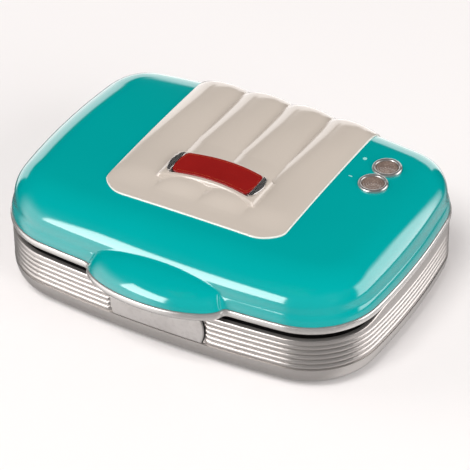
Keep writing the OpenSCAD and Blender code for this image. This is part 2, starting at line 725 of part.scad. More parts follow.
// Stubs of the inner leads along the floor, from the terminals to the element ends
module inner_wires() {
    color("red") placed() for (s = [-1, 1]) {
        translate([s * 10, 62, cover_top + 1.3]) rotate([90, 0, 0]) cylinder(h = 30, r = 1.2);
        translate([s * 10, 32, cover_top + 1.3]) sphere(1.2);
        translate([s * 10, 32, cover_top + 1.3]) rotate([0, s * 90, 0]) cylinder(h = 14, r = 1.2);
    }
}

// Leaf clips that hold a plate's edge to its frame
module plate_clips(z) {
    for (x = [-1, 1], y = [-1, 1]) translate([x * clip_x, y * (plate_d / 2 + 1), z])
        cube([12, 14, 1.2], center = true);
}

module lower_plate_clips() {
    color("lightgray") placed() plate_clips(plate_bottom - 0.6);
}

module upper_plate_clips() {
    color("lightgray") placed() plate_clips(upper_plate_top + 0.6);
}

// Frame between lid and upper plate
module lid_inner_frame() {
    color("dimgray") placed() difference() {
        union() {
            slab(-8, part_z + 1, upper_plate_top);
            slab(-lid_wall - 0.3, part_z + 4.6, part_z + 7.8);
        }
        rounded_block(frame_open_w, frame_open_d, plate_corner, part_z - 5, part_z + 20);
    }
}

// ---------- hinge ----------

// Where the rear wall stands at the hinges
hinge_wall = rim_point(180 - asin(hinge_x / rear_bulge_r)).y;

module at_hinge(s) { placed() translate([s * hinge_x, 0, 0]) children(); }

// Side view of an ear: round knuckle and an arm under the trim ring to the base wall
module ear_profile() {
    hull() {
        translate([hinge_y, hinge_z]) circle(knuckle_r);
        translate([hinge_wall - 1.5, 27]) square([1, 9]);
    }
}

module hinge_bracket(s) {
    color("dimgray") at_hinge(s) difference() {
        union() {
            for (t = [-1, 1]) translate([t * (lug_w / 2 + ear_play + ear_w / 2) - ear_w / 2, 0, 0])
                rotate([90, 0, 90]) linear_extrude(ear_w) ear_profile();
            translate([-lug_w / 2 - ear_w, hinge_wall - 1.5, 25])
                cube([lug_w + 2 * ear_w, 3, 10]);
        }
        translate([-20, hinge_y, hinge_z]) rotate([0, 90, 0]) cylinder(h = 40, r = pin_r);
    }
}

module hinge_pin(s) {
    w = lug_w + 2 * (ear_play + ear_w);
    color("lightgray") at_hinge(s) translate([-w / 2 - 0.6, hinge_y, hinge_z]) rotate([0, 90, 0])
        cylinder(h = w + 1.2, r = pin_r);
}

// Lug on the lid: knuckle, upright arm behind the trim ring and a foot on the rear skirt
module hinge_lug(s) {
    arm_y = half_d + 1.4;
    foot_z = lid_edge_z + 0.8;
    foot_top = hinge_z + 12;
    color("dimgray") at_hinge(s) difference() {
        translate([-lug_w / 2, 0, 0]) rotate([90, 0, 90]) linear_extrude(lug_w) union() {
            translate([hinge_y, hinge_z]) circle(knuckle_r);
            translate([arm_y, hinge_z]) square([hinge_y + 2 - arm_y, foot_top - hinge_z]);
            translate([hinge_wall - 1.4, foot_z]) square([arm_y + 2 - hinge_wall, foot_top - foot_z]);
        }
        translate([-20, hinge_y, hinge_z]) rotate([0, 90, 0])
            cylinder(h = 40, r = pin_r + pin_play);
    }
}

module hinge_screws() {
    color("lightgray") for (s = [-1, 1]) at_hinge(s)
        translate([0, hinge_wall - 5.5, lid_edge_z + 3.6]) rotate([-90, 0, 0]) {
            cylinder(h = 1.6, r = 2.6);
            cylinder(h = 10, r = 1.5);
        }
}

base_shell();
bottom_cover();
front_plaque();
base_top_frame();
lower_plate();
lower_heating_element();
lower_reflector();
thermostat();
thermal_fuse();
terminal_block();
cord_inlet_bush();
inner_wires();
foot(-1, -1);  // foot_front_left
foot(1, -1);  // foot_front_right
foot(-1, 1);  // foot_rear_left
foot(1, 1);  // foot_rear_right
cover_screws();
lower_plate_clips();
hinge_bracket(-1);  // hinge_bracket_left
hinge_bracket(1);  // hinge_bracket_right
hinge_pin(-1);  // hinge_pin_left
hinge_pin(1);  // hinge_pin_right
lid_shell();
lid_trim_ring();
handle_liner();
inlay_panel();
badge_frame();
badge_plate();
lamp_bezel(0);  // lamp_bezel_front
lamp_bezel(1);  // lamp_bezel_rear
lamp_lens(0);  // lamp_lens_front
lamp_lens(1);  // lamp_lens_rear
lamp_holder(0);  // lamp_holder_front
lamp_holder(1);  // lamp_holder_rear
lamp_bulb(0);  // lamp_bulb_front
lamp_bulb(1);  // lamp_bulb_rear
lid_inner_frame();
upper_plate();
upper_heating_element();
upper_reflector();
upper_plate_clips();
hinge_lug(-1);  // hinge_lug_left
hinge_lug(1);  // hinge_lug_right
hinge_screws();
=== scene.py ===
import math

import bmesh
import bpy
from mathutils import Matrix, Vector


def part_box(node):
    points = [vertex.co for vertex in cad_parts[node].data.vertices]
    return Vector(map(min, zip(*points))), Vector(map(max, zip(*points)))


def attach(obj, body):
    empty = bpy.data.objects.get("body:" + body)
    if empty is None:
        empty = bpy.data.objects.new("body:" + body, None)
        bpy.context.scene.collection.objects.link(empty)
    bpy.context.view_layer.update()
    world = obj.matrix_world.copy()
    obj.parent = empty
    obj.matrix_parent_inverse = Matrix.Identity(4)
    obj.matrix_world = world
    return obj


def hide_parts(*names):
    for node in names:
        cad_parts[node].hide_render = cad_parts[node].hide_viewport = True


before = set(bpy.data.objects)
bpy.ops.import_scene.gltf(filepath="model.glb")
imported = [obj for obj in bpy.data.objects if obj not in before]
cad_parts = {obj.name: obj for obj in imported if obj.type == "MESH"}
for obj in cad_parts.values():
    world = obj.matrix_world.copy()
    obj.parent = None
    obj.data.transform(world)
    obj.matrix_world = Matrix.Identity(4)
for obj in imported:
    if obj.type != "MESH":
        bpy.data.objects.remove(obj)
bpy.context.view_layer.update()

print("stage: frame loaded")
mm = 0.001


# Tools shared by the pieces

def clearSelection():
    if bpy.context.mode != "OBJECT":
        bpy.ops.object.mode_set(mode="OBJECT")
    bpy.ops.object.select_all(action="DESELECT")


def pick(piece):
    clearSelection()
    piece.select_set(True)
    bpy.context.view_layer.objects.active = piece


def named(name):
    piece = bpy.context.object
    piece.name = piece.data.name = name
    return piece


def applied(piece, kind, **values):
    pick(piece)
    modifier = piece.modifiers.new(kind.lower(), kind)
    for key, value in values.items():
        setattr(modifier, key, value)
    bpy.ops.object.modifier_apply(modifier=modifier.name)


def roundEdges(piece, width, segments=3, sharperThan=40):
    applied(piece, "BEVEL", width=width, segments=segments, limit_method="ANGLE",
            angle_limit=math.radians(sharperThan))


def faceOutwards(piece):
    pick(piece)
    bpy.ops.object.mode_set(mode="EDIT")
    bpy.ops.mesh.select_all(action="SELECT")
    bpy.ops.mesh.remove_doubles(threshold=0.00001)
    bpy.ops.mesh.normals_make_consistent(inside=False)
    bpy.ops.object.mode_set(mode="OBJECT")


def settle(piece, carrier, slotName, material, *nodes, angle=35):
    pick(piece)
    bpy.ops.object.transform_apply(location=True, rotation=True, scale=True)
    bpy.ops.object.shade_smooth_by_angle(angle=math.radians(angle))
    piece.data.materials.clear()
    piece.data.materials.append(material)
    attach(piece, carrier)
    if nodes:
        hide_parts(*nodes)
    return piece


def smoothStep(t):
    t = min(1.0, max(0.0, t))
    return t * t * (3 - 2 * t)


# Body outline: eight tangent arcs, as on the moulded parts
body = {
    "halfWidth": 125 * mm,
    "halfDepth": 89 * mm,
    "frontCorner": 46 * mm,
    "rearCorner": 36 * mm,
    "frontBulge": 820 * mm,
    "rearBulge": 720 * mm,
    "sideBulge": 450 * mm,
}
plateLow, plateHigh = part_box("lower_plate")
middleY = (plateLow.y + plateHigh.y) / 2       # the body's middle, in the row frame


def cornerMiddle(cornerR, bulgeR):
    y0, r0 = bulgeR - body["halfDepth"], bulgeR - cornerR
    x1, r1 = body["halfWidth"] - body["sideBulge"], body["sideBulge"] - cornerR
    q = math.hypot(x1, y0)
    along = (r0 * r0 - r1 * r1 + q * q) / (2 * q)
    across = math.sqrt(r0 * r0 - along * along)
    return along * x1 / q + across * y0 / q, y0 - along * y0 / q + across * x1 / q


def arcTurns(corner, bulgeR):
    start = math.atan2(corner[0], bulgeR - body["halfDepth"] - corner[1])
    side = math.atan2(-corner[1], corner[0] - body["halfWidth"] + body["sideBulge"])
    return start, math.pi / 2 - side


frontC = cornerMiddle(body["frontCorner"], body["frontBulge"])
rearC = cornerMiddle(body["rearCorner"], body["rearBulge"])
frontA, frontB = arcTurns(frontC, body["frontBulge"])
rearA, rearB = arcTurns(rearC, body["rearBulge"])


def rimPoint(turn):
    if turn <= frontA:
        centre, r = (0, body["frontBulge"] - body["halfDepth"]), body["frontBulge"]
    elif turn <= frontB:
        centre, r = frontC, body["frontCorner"]
    elif turn <= math.pi - rearB:
        centre, r = (body["halfWidth"] - body["sideBulge"], 0), body["sideBulge"]
    elif turn <= math.pi - rearA:
        centre, r = (rearC[0], -rearC[1]), body["rearCorner"]
    else:
        centre, r = (0, body["halfDepth"] - body["rearBulge"]), body["rearBulge"]
    nx, ny = math.sin(turn), -math.cos(turn)
    return centre[0] + r * nx, centre[1] + r * ny, nx, ny


def turnsBetween(a, b, count):
    return [a + (b - a) * (i + 1) / count for i in range(count)]


# A loop's samples: the handle's arch first, then the plain rim, mirrored to the left
loopPlan = {
    "arch": 26,
    "front": 10,
    "frontSpread": 1.4,                        # above 1 the samples crowd at the arch's end
    "corner": 16,
    "side": 14,
    "rearCorner": 14,
    "rear": 16,
    "easeRounds": 3,
    "easeReach": 3,
    "easeShare": 0.6,
}
plainTurns = (
    turnsBetween(frontA, frontB, loopPlan["corner"])
    + turnsBetween(frontB, math.pi - rearB, loopPlan["side"])
    + turnsBetween(math.pi - rearB, math.pi - rearA, loopPlan["rearCorner"])
    + turnsBetween(math.pi - rearA, math.pi, loopPlan["rear"])
)


def rimSamples(half):
    # (turn, share of the arch) from the front middle round the right side to the rear middle
    count = loopPlan["arch"]
    frontX = body["frontBulge"] * math.sin(frontA)
    samples = [(half * math.sin(math.pi / 2 * i / count), math.cos(math.pi / 2 * i / count))
               for i in range(count + 1)]
    samples[count] = (half, 0.0)
    for i in range(loopPlan["front"]):
        share = ((i + 1) / loopPlan["front"]) ** loopPlan["frontSpread"]
        samples.append((half + (frontX - half) * share, 0.0))
    turns = [(math.asin(min(1, x / body["frontBulge"])), arch) for x, arch in samples]
    return turns + [(turn, 0.0) for turn in plainTurns]


def rimLoop(half, shape, ease=1.0):
    # shape gives the outward offset and the height at each sample, and the left mirrors the right
    points = []
    for turn, arch in rimSamples(half):
        x, y, nx, ny = rimPoint(turn)
        out, z = shape(turn, arch)
        points.append([x + out * nx, y + out * ny, z])
    archEnd, reach = loopPlan["arch"], loopPlan["easeReach"]
    for _ in range(loopPlan["easeRounds"]):    # eases the inner corner at the arch's end
        near = [list(p) for p in points]
        for k in range(archEnd - reach, archEnd + reach + 1):
            for c in (0, 1):
                mean = (near[k - 1][c] + near[k + 1][c]) / 2
                points[k][c] = near[k][c] + (mean - near[k][c]) * loopPlan["easeShare"] * ease
    whole = points + [[-x, y, z] for x, y, z in reversed(points[1:-1])]
    return [Vector((x, y + middleY, z)) for x, y, z in whole]


def sweptPiece(name, loops, closed):
    # a circle laid along the first loop, then extruded loop by loop: a closed section is
    # bridged back to its start, an open one ends in a pole
    clearSelection()
    bpy.ops.mesh.primitive_circle_add(vertices=len(loops[0]), radius=body["halfDepth"])
    piece = named(name)
    bpy.ops.object.mode_set(mode="EDIT")
    mesh = bmesh.from_edit_mesh(piece.data)
    mesh.verts.layers.int.new("row")
    place = mesh.verts.layers.int.new("place")
    for i, vertex in enumerate(mesh.verts):
        vertex[place] = i
        vertex.co = loops[0][i]
    bmesh.update_edit_mesh(piece.data)
    bpy.ops.mesh.select_mode(type="EDGE")
    bpy.ops.mesh.select_all(action="SELECT")
    for k, loop in enumerate(loops[1:], 1):
        bpy.ops.mesh.extrude_edges_indiv()
        mesh = bmesh.from_edit_mesh(piece.data)
        place, row = mesh.verts.layers.int["place"], mesh.verts.layers.int["row"]
        for vertex in mesh.verts:
            if vertex.select:
                vertex.co = loop[vertex[place]]
                vertex[row] = k
        bmesh.update_edit_mesh(piece.data)
    if closed:
        last = len(loops) - 1
        mesh = bmesh.from_edit_mesh(piece.data)
        row = mesh.verts.layers.int["row"]
        for edge in mesh.edges:
            a, b = (v[row] for v in edge.verts)
            edge.select_set(a == b and a in (0, last))
        bmesh.update_edit_mesh(piece.data)
        bpy.ops.mesh.bridge_edge_loops()
    else:
        bpy.ops.mesh.extrude_edges_indiv()
        bpy.ops.mesh.merge(type="CENTER")
    bpy.ops.mesh.select_mode(type="VERT")
    bpy.ops.object.mode_set(mode="OBJECT")
    for layer in ("place", "row"):
        piece.data.attributes.remove(piece.data.attributes[layer])
    faceOutwards(piece)
    return piece


def outlinedPiece(name, points, z0, z1):
    # a filled circle laid along an outline, then extruded upwards
    clearSelection()
    bpy.ops.mesh.primitive_circle_add(vertices=len(points), fill_type="NGON")
    piece = named(name)
    for vertex, (x, y) in zip(piece.data.vertices, points):
        vertex.co = (x, y, z0)
    bpy.ops.object.mode_set(mode="EDIT")
    bpy.ops.mesh.select_all(action="SELECT")
    bpy.ops.mesh.extrude_region_move(TRANSFORM_OT_translate={"value": (0, 0, z1 - z0)})
    bpy.ops.object.mode_set(mode="OBJECT")
    return piece


def latheTurned(name, profile, centre, segments=64):
    # a chain of vertices extruded from one point, then spun about the vertical
    clearSelection()
    x0, z0 = profile[0]
    bpy.ops.mesh.primitive_plane_add(size=mm, location=(0, 0, 0))
    piece = named(name)
    bpy.ops.object.mode_set(mode="EDIT")
    bpy.ops.mesh.select_all(action="SELECT")
    bpy.ops.mesh.merge(type="CENTER")
    bpy.ops.mesh.select_all(action="SELECT")
    bpy.ops.transform.translate(value=(x0, 0, z0))
    for (ax, az), (bx, bz) in zip(profile, profile[1:]):
        bpy.ops.mesh.extrude_region_move(
            TRANSFORM_OT_translate={"value": (bx - ax, 0, bz - az)})
    bpy.ops.mesh.select_all(action="SELECT")
    bpy.ops.mesh.spin(steps=segments, angle=math.tau, center=(0, 0, 0), axis=(0, 0, 1))
    bpy.ops.mesh.select_all(action="SELECT")
    bpy.ops.transform.translate(value=centre)
    bpy.ops.object.mode_set(mode="OBJECT")
    faceOutwards(piece)
    return piece


# Shader groups: one effect each, used by several finishes

def socketColor(red, green, blue):
    def linear(c):
        c /= 255
        return c / 12.92 if c <= 0.04045 else ((c + 0.055) / 1.055) ** 2.4
    return linear(red), linear(green), linear(blue), 1.0


def setInputs(node, values):
    for label, value in values.items():
        node.inputs[label].default_value = value


def newGroup(name, inputs, outputs):
    tree = bpy.data.node_groups.new(name, "ShaderNodeTree")
    for label, kind, value in inputs:
        socket = tree.interface.new_socket(label, in_out="INPUT", socket_type=kind)
        socket.default_value = value
    for label, kind in outputs:
        tree.interface.new_socket(label, in_out="OUTPUT", socket_type=kind)
    return tree, tree.nodes.new("NodeGroupInput"), tree.nodes.new("NodeGroupOutput")


def makeMouldSkin():
    # the faint waviness and fine grain of a moulded or painted skin, as a height
    tree, given, out = newGroup(
        "mouldSkin",
        [("Wave Scale", "NodeSocketFloat", 60.0), ("Grain Scale", "NodeSocketFloat", 900.0),
         ("Grain Share", "NodeSocketFloat", 0.3)],
        [("Height", "NodeSocketFloat")])
    where = tree.nodes.new("ShaderNodeTexCoord")
    wave = tree.nodes.new("ShaderNodeTexNoise")
    grain = tree.nodes.new("ShaderNodeTexNoise")
    mix = tree.nodes.new("ShaderNodeMix")
    wave.inputs["Detail"].default_value = 1.0
    grain.inputs["Detail"].default_value = 3.0
    link = tree.links.new
    link(where.outputs["Object"], wave.inputs["Vector"])
    link(where.outputs["Object"], grain.inputs["Vector"])
    link(given.outputs["Wave Scale"], wave.inputs["Scale"])
    link(given.outputs["Grain Scale"], grain.inputs["Scale"])
    link(given.outputs["Grain Share"], mix.inputs["Factor"])
    link(wave.outputs["Fac"], mix.inputs["A"])
    link(grain.outputs["Fac"], mix.inputs["B"])
    link(mix.outputs["Result"], out.inputs["Height"])
    return tree


def makeColourDrift():
    # a slow drift between two shades, with fine specks of a third
    tree, given, out = newGroup(
        "colourDrift",
        [("Shade", "NodeSocketColor", (1, 1, 1, 1)), ("Other Shade", "NodeSocketColor", (1, 1, 1, 1)),
         ("Speck", "NodeSocketColor", (1, 1, 1, 1)), ("Drift Scale", "NodeSocketFloat", 12.0),
         ("Speck Scale", "NodeSocketFloat", 1200.0), ("Speck Share", "NodeSocketFloat", 0.0)],
        [("Color", "NodeSocketColor")])
    where = tree.nodes.new("ShaderNodeTexCoord")
    drift = tree.nodes.new("ShaderNodeTexNoise")
    speck = tree.nodes.new("ShaderNodeTexNoise")
    sharpen = tree.nodes.new("ShaderNodeMapRange")
    shades = tree.nodes.new("ShaderNodeMix")
    specks = tree.nodes.new("ShaderNodeMix")
    scaled = tree.nodes.new("ShaderNodeMath")
    shades.data_type = specks.data_type = "RGBA"    # colour sockets: 6 and 7 in, 2 out
    scaled.operation = "MULTIPLY"
    drift.inputs["Detail"].default_value = 2.0
    speck.inputs["Detail"].default_value = 1.0
    setInputs(sharpen, {"From Min": 0.5, "From Max": 0.7})
    link = tree.links.new
    link(where.outputs["Object"], drift.inputs["Vector"])
    link(where.outputs["Object"], speck.inputs["Vector"])
    link(given.outputs["Drift Scale"], drift.inputs["Scale"])
    link(given.outputs["Speck Scale"], speck.inputs["Scale"])
    link(drift.outputs["Fac"], shades.inputs[0])
    link(given.outputs["Shade"], shades.inputs[6])
    link(given.outputs["Other Shade"], shades.inputs[7])
    link(speck.outputs["Fac"], sharpen.inputs["Value"])
    link(sharpen.outputs["Result"], scaled.inputs[0])
    link(given.outputs["Speck Share"], scaled.inputs[1])
    link(scaled.outputs["Value"], specks.inputs[0])
    link(shades.outputs[2], specks.inputs[6])
    link(given.outputs["Speck"], specks.inputs[7])
    link(specks.outputs[2], out.inputs["Color"])
    return tree


mouldSkin = makeMouldSkin()
colourDrift = makeColourDrift()


def finish(name, look):
    # one finish: drifting colour, its own sheen, and a skin that the bump reads
    material = bpy.data.materials.new(name)
    material.use_nodes = True
    tree = material.node_tree
    shader = tree.nodes["Principled BSDF"]
    drift = tree.nodes.new("ShaderNodeGroup")
    drift.node_tree = colourDrift
    setInputs(drift, {
        "Shade": look["shade"],
        "Other Shade": look["otherShade"],
        "Speck": look.get("speck", look["otherShade"]),
        "Drift Scale": look.get("driftScale", 14.0),
        "Speck Scale": look.get("speckScale", 1500.0),
        "Speck Share": look.get("speckShare", 0.1),
    })
    skin = tree.nodes.new("ShaderNodeGroup")
    skin.node_tree = mouldSkin
    setInputs(skin, {
        "Wave Scale": look.get("waveScale", 60.0),
        "Grain Scale": look.get("grainScale", 1400.0),
        "Grain Share": look.get("grainShare", 0.3),
    })
    bump = tree.nodes.new("ShaderNodeBump")
    setInputs(bump, {"Strength": look.get("bump", 0.1),
                     "Distance": look.get("bumpDepth", 0.02 * mm)})
    tree.links.new(drift.outputs["Color"], shader.inputs["Base Color"])
    tree.links.new(skin.outputs["Height"], bump.inputs["Height"])
    tree.links.new(bump.outputs["Normal"], shader.inputs["Normal"])
    setInputs(shader, {
        "Roughness": look["roughness"],
        "Metallic": look.get("metallic", 0.0),
        "Coat Weight": look.get("coat", 0.0),
        "Coat Roughness": look.get("coatRoughness", 0.03),
    })
    return material


finishes = {
    "tealGloss": {"shade": socketColor(0, 160, 158), "otherShade": socketColor(0, 153, 152),
                  "roughness": 0.1, "coat": 1.0, "coatRoughness": 0.04,
                  "bump": 0.1, "bumpDepth": 0.03 * mm, "grainShare": 0.12},
    "creamSatin": {"shade": socketColor(198, 187, 176), "otherShade": socketColor(193, 182, 171),
                   "roughness": 0.16, "coat": 0.9, "coatRoughness": 0.08,
                   "bump": 0.1, "grainScale": 2600.0, "grainShare": 0.4,
                   "speckShare": 0.06, "speck": socketColor(184, 171, 158)},
    # paler than the panel's cream: a painted highlight for the bead round the panel's edge
    "creamEdgePaintedHighlight": {"shade": socketColor(236, 234, 226), "otherShade": socketColor(226, 226, 219),
                  "roughness": 0.2, "coat": 0.6, "coatRoughness": 0.08, "bump": 0.08},
    "trimSilver": {"shade": socketColor(218, 215, 212), "otherShade": socketColor(208, 205, 202),
                   "roughness": 0.22, "metallic": 0.7, "bump": 0.1, "speckShare": 0.2,
                   "speck": socketColor(235, 233, 231), "speckScale": 3000.0},
    "satinSilver": {"shade": socketColor(198, 193, 189), "otherShade": socketColor(188, 183, 180),
                    "roughness": 0.31, "metallic": 0.8, "bump": 0.12, "speckShare": 0.2,
                    "speck": socketColor(225, 221, 218), "speckScale": 3000.0},
    "plaqueSilver": {"shade": socketColor(220, 216, 213), "otherShade": socketColor(190, 185, 182),
                     "roughness": 0.28, "metallic": 0.75, "bump": 0.2, "bumpDepth": 0.05 * mm,
                     "driftScale": 55.0, "waveScale": 110.0, "speckShare": 0.2,
                     "speck": socketColor(170, 164, 160), "speckScale": 420.0},
    "redEnamel": {"shade": socketColor(148, 27, 25), "otherShade": socketColor(128, 21, 20),
                  "roughness": 0.16, "coat": 0.6, "coatRoughness": 0.05, "driftScale": 60.0,
                  "bump": 0.1, "speckShare": 0.12, "speck": socketColor(205, 50, 36)},
    "goldLine": {"shade": socketColor(226, 150, 92), "otherShade": socketColor(214, 132, 74),
                 "roughness": 0.35, "metallic": 0.2},
    "chrome": {"shade": socketColor(222, 220, 219), "otherShade": socketColor(208, 206, 205),
               "roughness": 0.25, "metallic": 1.0, "bump": 0.05},
    "lampRing": {"shade": socketColor(206, 204, 202), "otherShade": socketColor(192, 190, 188),
                 "roughness": 0.3, "metallic": 0.85, "bump": 0.05},
    "lampSmoke": {"shade": socketColor(134, 116, 106), "otherShade": socketColor(98, 82, 75),
                  "roughness": 0.22, "coat": 0.5, "coatRoughness": 0.06, "driftScale": 260.0,
                  "speckShare": 0.5, "speck": socketColor(158, 142, 132), "speckScale": 900.0,
                  "bump": 0.4, "bumpDepth": 0.08 * mm, "waveScale": 500.0},
    "darkPlastic": {"shade": socketColor(30, 28, 28), "otherShade": socketColor(24, 22, 22),
                    "roughness": 0.42, "bump": 0.3, "grainShare": 0.7},
    "nonstick": {"shade": socketColor(38, 38, 40), "otherShade": socketColor(32, 32, 34),
                 "roughness": 0.36, "speckShare": 0.35, "speck": socketColor(78, 78, 82),
                 "speckScale": 2200.0, "bump": 0.3, "grainShare": 0.8},
    "elementSteel": {"shade": socketColor(128, 120, 112), "otherShade": socketColor(100, 92, 88),
                     "roughness": 0.4, "metallic": 1.0, "driftScale": 40.0},
    "brightSheet": {"shade": socketColor(205, 206, 208), "otherShade": socketColor(190, 192, 194),
                    "roughness": 0.22, "metallic": 1.0, "driftScale": 30.0},
    "zincSteel": {"shade": socketColor(176, 178, 180), "otherShade": socketColor(150, 152, 156),
                  "roughness": 0.34, "metallic": 1.0, "driftScale": 90.0},
    "rubber": {"shade": socketColor(34, 33, 33), "otherShade": socketColor(27, 26, 26),
               "roughness": 0.7, "bump": 0.5, "grainShare": 0.9},
    "ceramic": {"shade": socketColor(232, 226, 212), "otherShade": socketColor(224, 216, 200),
                "roughness": 0.3, "bump": 0.15},
    "wireRed": {"shade": socketColor(176, 32, 26), "otherShade": socketColor(160, 26, 22),
                "roughness": 0.4, "bump": 0.1},
    "bulbGlass": {"shade": socketColor(238, 160, 80), "otherShade": socketColor(226, 140, 60),
                  "roughness": 0.08, "coat": 0.8},
    "markPrint": {"shade": socketColor(150, 214, 208), "otherShade": socketColor(140, 206, 200),
                  "roughness": 0.4},
}
finishMaterial = {name: finish(name, look) for name, look in finishes.items()}
print("stage: finishes made")


# Lid: one glossy moulding with the handle tongue
lid = {
    "edge": 48 * mm,
    "skirt": 7.6 * mm,
    "shoulderHeight": 18.8 * mm,
    "frontWidth": 28 * mm,
    "sideWidth": 25 * mm,
    "rearWidth": 20 * mm,
    "frontFullness": 2.1,
    "sideFullness": 2.5,
    "rearFullness": 2.9,
    "crown": 2.6 * mm,
    "draft": 1.9 * mm,
    "wall": 2 * mm,
    "handleReach": 17 * mm,
    "handleHalf": 45.5 * mm,
    "handleTaper": 3 * mm,
    "handleEndRise": 6.5 * mm,
    "handleRise": 8.8 * mm,
    "padRows": 18,
    "padBlend": 1.6,                           # how soon the pad turns round from the arch's end
    "upperRows": 22,
    "easeFade": 5,                             # the arch's end is eased over a fifth of the rise
    "crownRows": (0.88, 0.74, 0.58, 0.42, 0.26, 0.1),
}
skirtTop = lid["edge"] + lid["skirt"]
lidTop = skirtTop + lid["shoulderHeight"]


def crownAt(x, y):
    return lid["crown"] * (1 - (x / body["halfWidth"]) ** 2 - (y / body["halfDepth"]) ** 2)


def between(turn, front, side, rear):
    # a value that changes round the body, from the front over the sides to the rear
    if turn < math.pi / 2:
        return front + (side - front) * smoothStep(turn / (math.pi / 2))
    return side + (rear - side) * smoothStep((turn - math.pi / 2) / (math.pi / 3))


def lidInset(turn, height):
    # how far the plain lid stands in from its edge at a height above that edge
    if height <= lid["skirt"]:
        return lid["draft"] * (height / lid["skirt"]) ** 2
    share = min(1.0, (height - lid["skirt"]) / lid["shoulderHeight"])
    full = between(turn, lid["frontFullness"], lid["sideFullness"], lid["rearFullness"])
    width = between(turn, lid["frontWidth"], lid["sideWidth"], lid["rearWidth"])
    return lid["draft"] + width * (1 - (1 - share ** full) ** (1 / full))


def lidLoops():
    total = lid["skirt"] + lid["shoulderHeight"]
    half = lid["handleHalf"]
    loops = []

    def padShape(angle):
        # the pad of the tongue: an ellipse from its lower edge up to its crease
        def shape(turn, arch):
            crease = lid["handleEndRise"] + lid["handleRise"] * arch
            height = crease * math.sin(angle)
            plain, rounded = lidInset(turn, height), lidInset(turn, crease) * math.sin(angle) ** 2
            share = min(1.0, arch * lid["padBlend"])
            inset = plain + (rounded - plain) * share
            return lid["handleReach"] * arch * math.cos(angle) - inset, lid["edge"] + height
        return shape

    def upperShape(share):
        def shape(turn, arch):
            start = lid["handleEndRise"] + lid["handleRise"] * arch
            full = between(turn, lid["frontFullness"], lid["sideFullness"], lid["rearFullness"])
            height = start + (total - start) * share ** (2 / full)
            return -lidInset(turn, height), lid["edge"] + height
        return shape

    for k in range(lid["padRows"]):
        angle = math.pi / 2 * k / lid["padRows"]
        loops.append(rimLoop(half - lid["handleTaper"] * math.sin(angle), padShape(angle)))
    half -= lid["handleTaper"]
    for k in range(lid["upperRows"] + 1):
        share = math.sin(math.pi / 2 * k / lid["upperRows"])
        loops.append(rimLoop(half, upperShape(share), max(0.0, 1 - lid["easeFade"] * share)))
    top = loops[-1]
    for loop in loops[lid["padRows"]:]:
        for p in loop:
            share = max(0.0, (p.z - skirtTop) / lid["shoulderHeight"])
            p.z += share * crownAt(p.x, p.y - middleY)
    for scale in lid["crownRows"]:
        loops.append([Vector((p.x * scale, middleY + (p.y - middleY) * scale,
                              lidTop + crownAt(p.x * scale, (p.y - middleY) * scale)))
                      for p in top])
    return loops


def makeLid():
    cover = sweptPiece("lidCover", lidLoops(), closed=False)
    applied(cover, "SUBSURF", levels=1, render_levels=1)
    applied(cover, "SOLIDIFY", thickness=lid["wall"], offset=-1.0)
    settle(cover, "lid", "teal_gloss", finishMaterial["tealGloss"], "lid_shell", angle=40)


# Silver trim ring under the lid's edge
trim = {
    "top": 47.9 * mm,
    "bottom": 42.7 * mm,
    # section of the bead: millimetres out from the rim, and share of the ring's height
    "section": ((-2.2, 1.0), (-2.2, 0.0), (-0.6, 0.0), (0.1, 0.02), (0.55, 0.09), (0.78, 0.2),
                (0.85, 0.34), (0.85, 0.52), (0.8, 0.68), (0.62, 0.82), (0.3, 0.9), (-0.15, 0.93),
                (-0.5, 0.94), (-0.7, 1.0)),
}


def makeTrim():
    loops = []
    for offset, share in trim["section"]:
        z = trim["bottom"] + (trim["top"] - trim["bottom"]) * share
        loops.append(rimLoop(
            lid["handleHalf"] + offset * mm,
            lambda turn, arch, o=offset, z=z: (lid["handleReach"] * arch + o * mm, z)))
    ring = sweptPiece("trimRing", loops, closed=True)
    settle(ring, "lid", "trim_silver", finishMaterial["trimSilver"], "lid_trim_ring")


# Base wall with its ribs
base = {
    "foot": 3 * mm,
    "rimZ": 37.2 * mm,
    "rimRise": 4.8 * mm,                       # the rim climbs by this behind the front corners
    "riseStart": -60 * mm,
    "riseRun": 32 * mm,
    # the lip over the ribs: millimetres out from the rim, and down from its top
    "lip": ((-3.2, 0.0), (-1.2, 0.0), (-0.6, 0.15), (-0.3, 0.5), (-0.2, 1.0)),
    "lipDepth": 3.4 * mm,
    "lipFoot": 0.4 * mm,
    "ribs": 5,
    "ribPitch": 3.6 * mm,
    "ribDepth": 1.3 * mm,
    "ribSteps": (0.0, 0.07, 0.18, 0.34, 0.5, 0.66, 0.82, 0.93),
    "ribBulge": 0.92,
    "belly": 7 * mm,
    "bellyStep": 0.5 * mm,
    "bellySteps": (0.0, 0.16, 0.36, 0.56, 0.76, 0.92, 1.0),
    # under and up inside: millimetres out from the rim, and up from the foot
    "inside": ((-12, 0.0), (-12, 2.0), (-5.7, 5.0), (-3.7, 9.0), (-3.7, 28.8), (-3.2, 28.9)),
    "plaqueHalf": 33.6 * mm,
}
ribTop = base["rimZ"] - base["lipDepth"]
ribBottom = ribTop - base["ribs"] * base["ribPitch"]


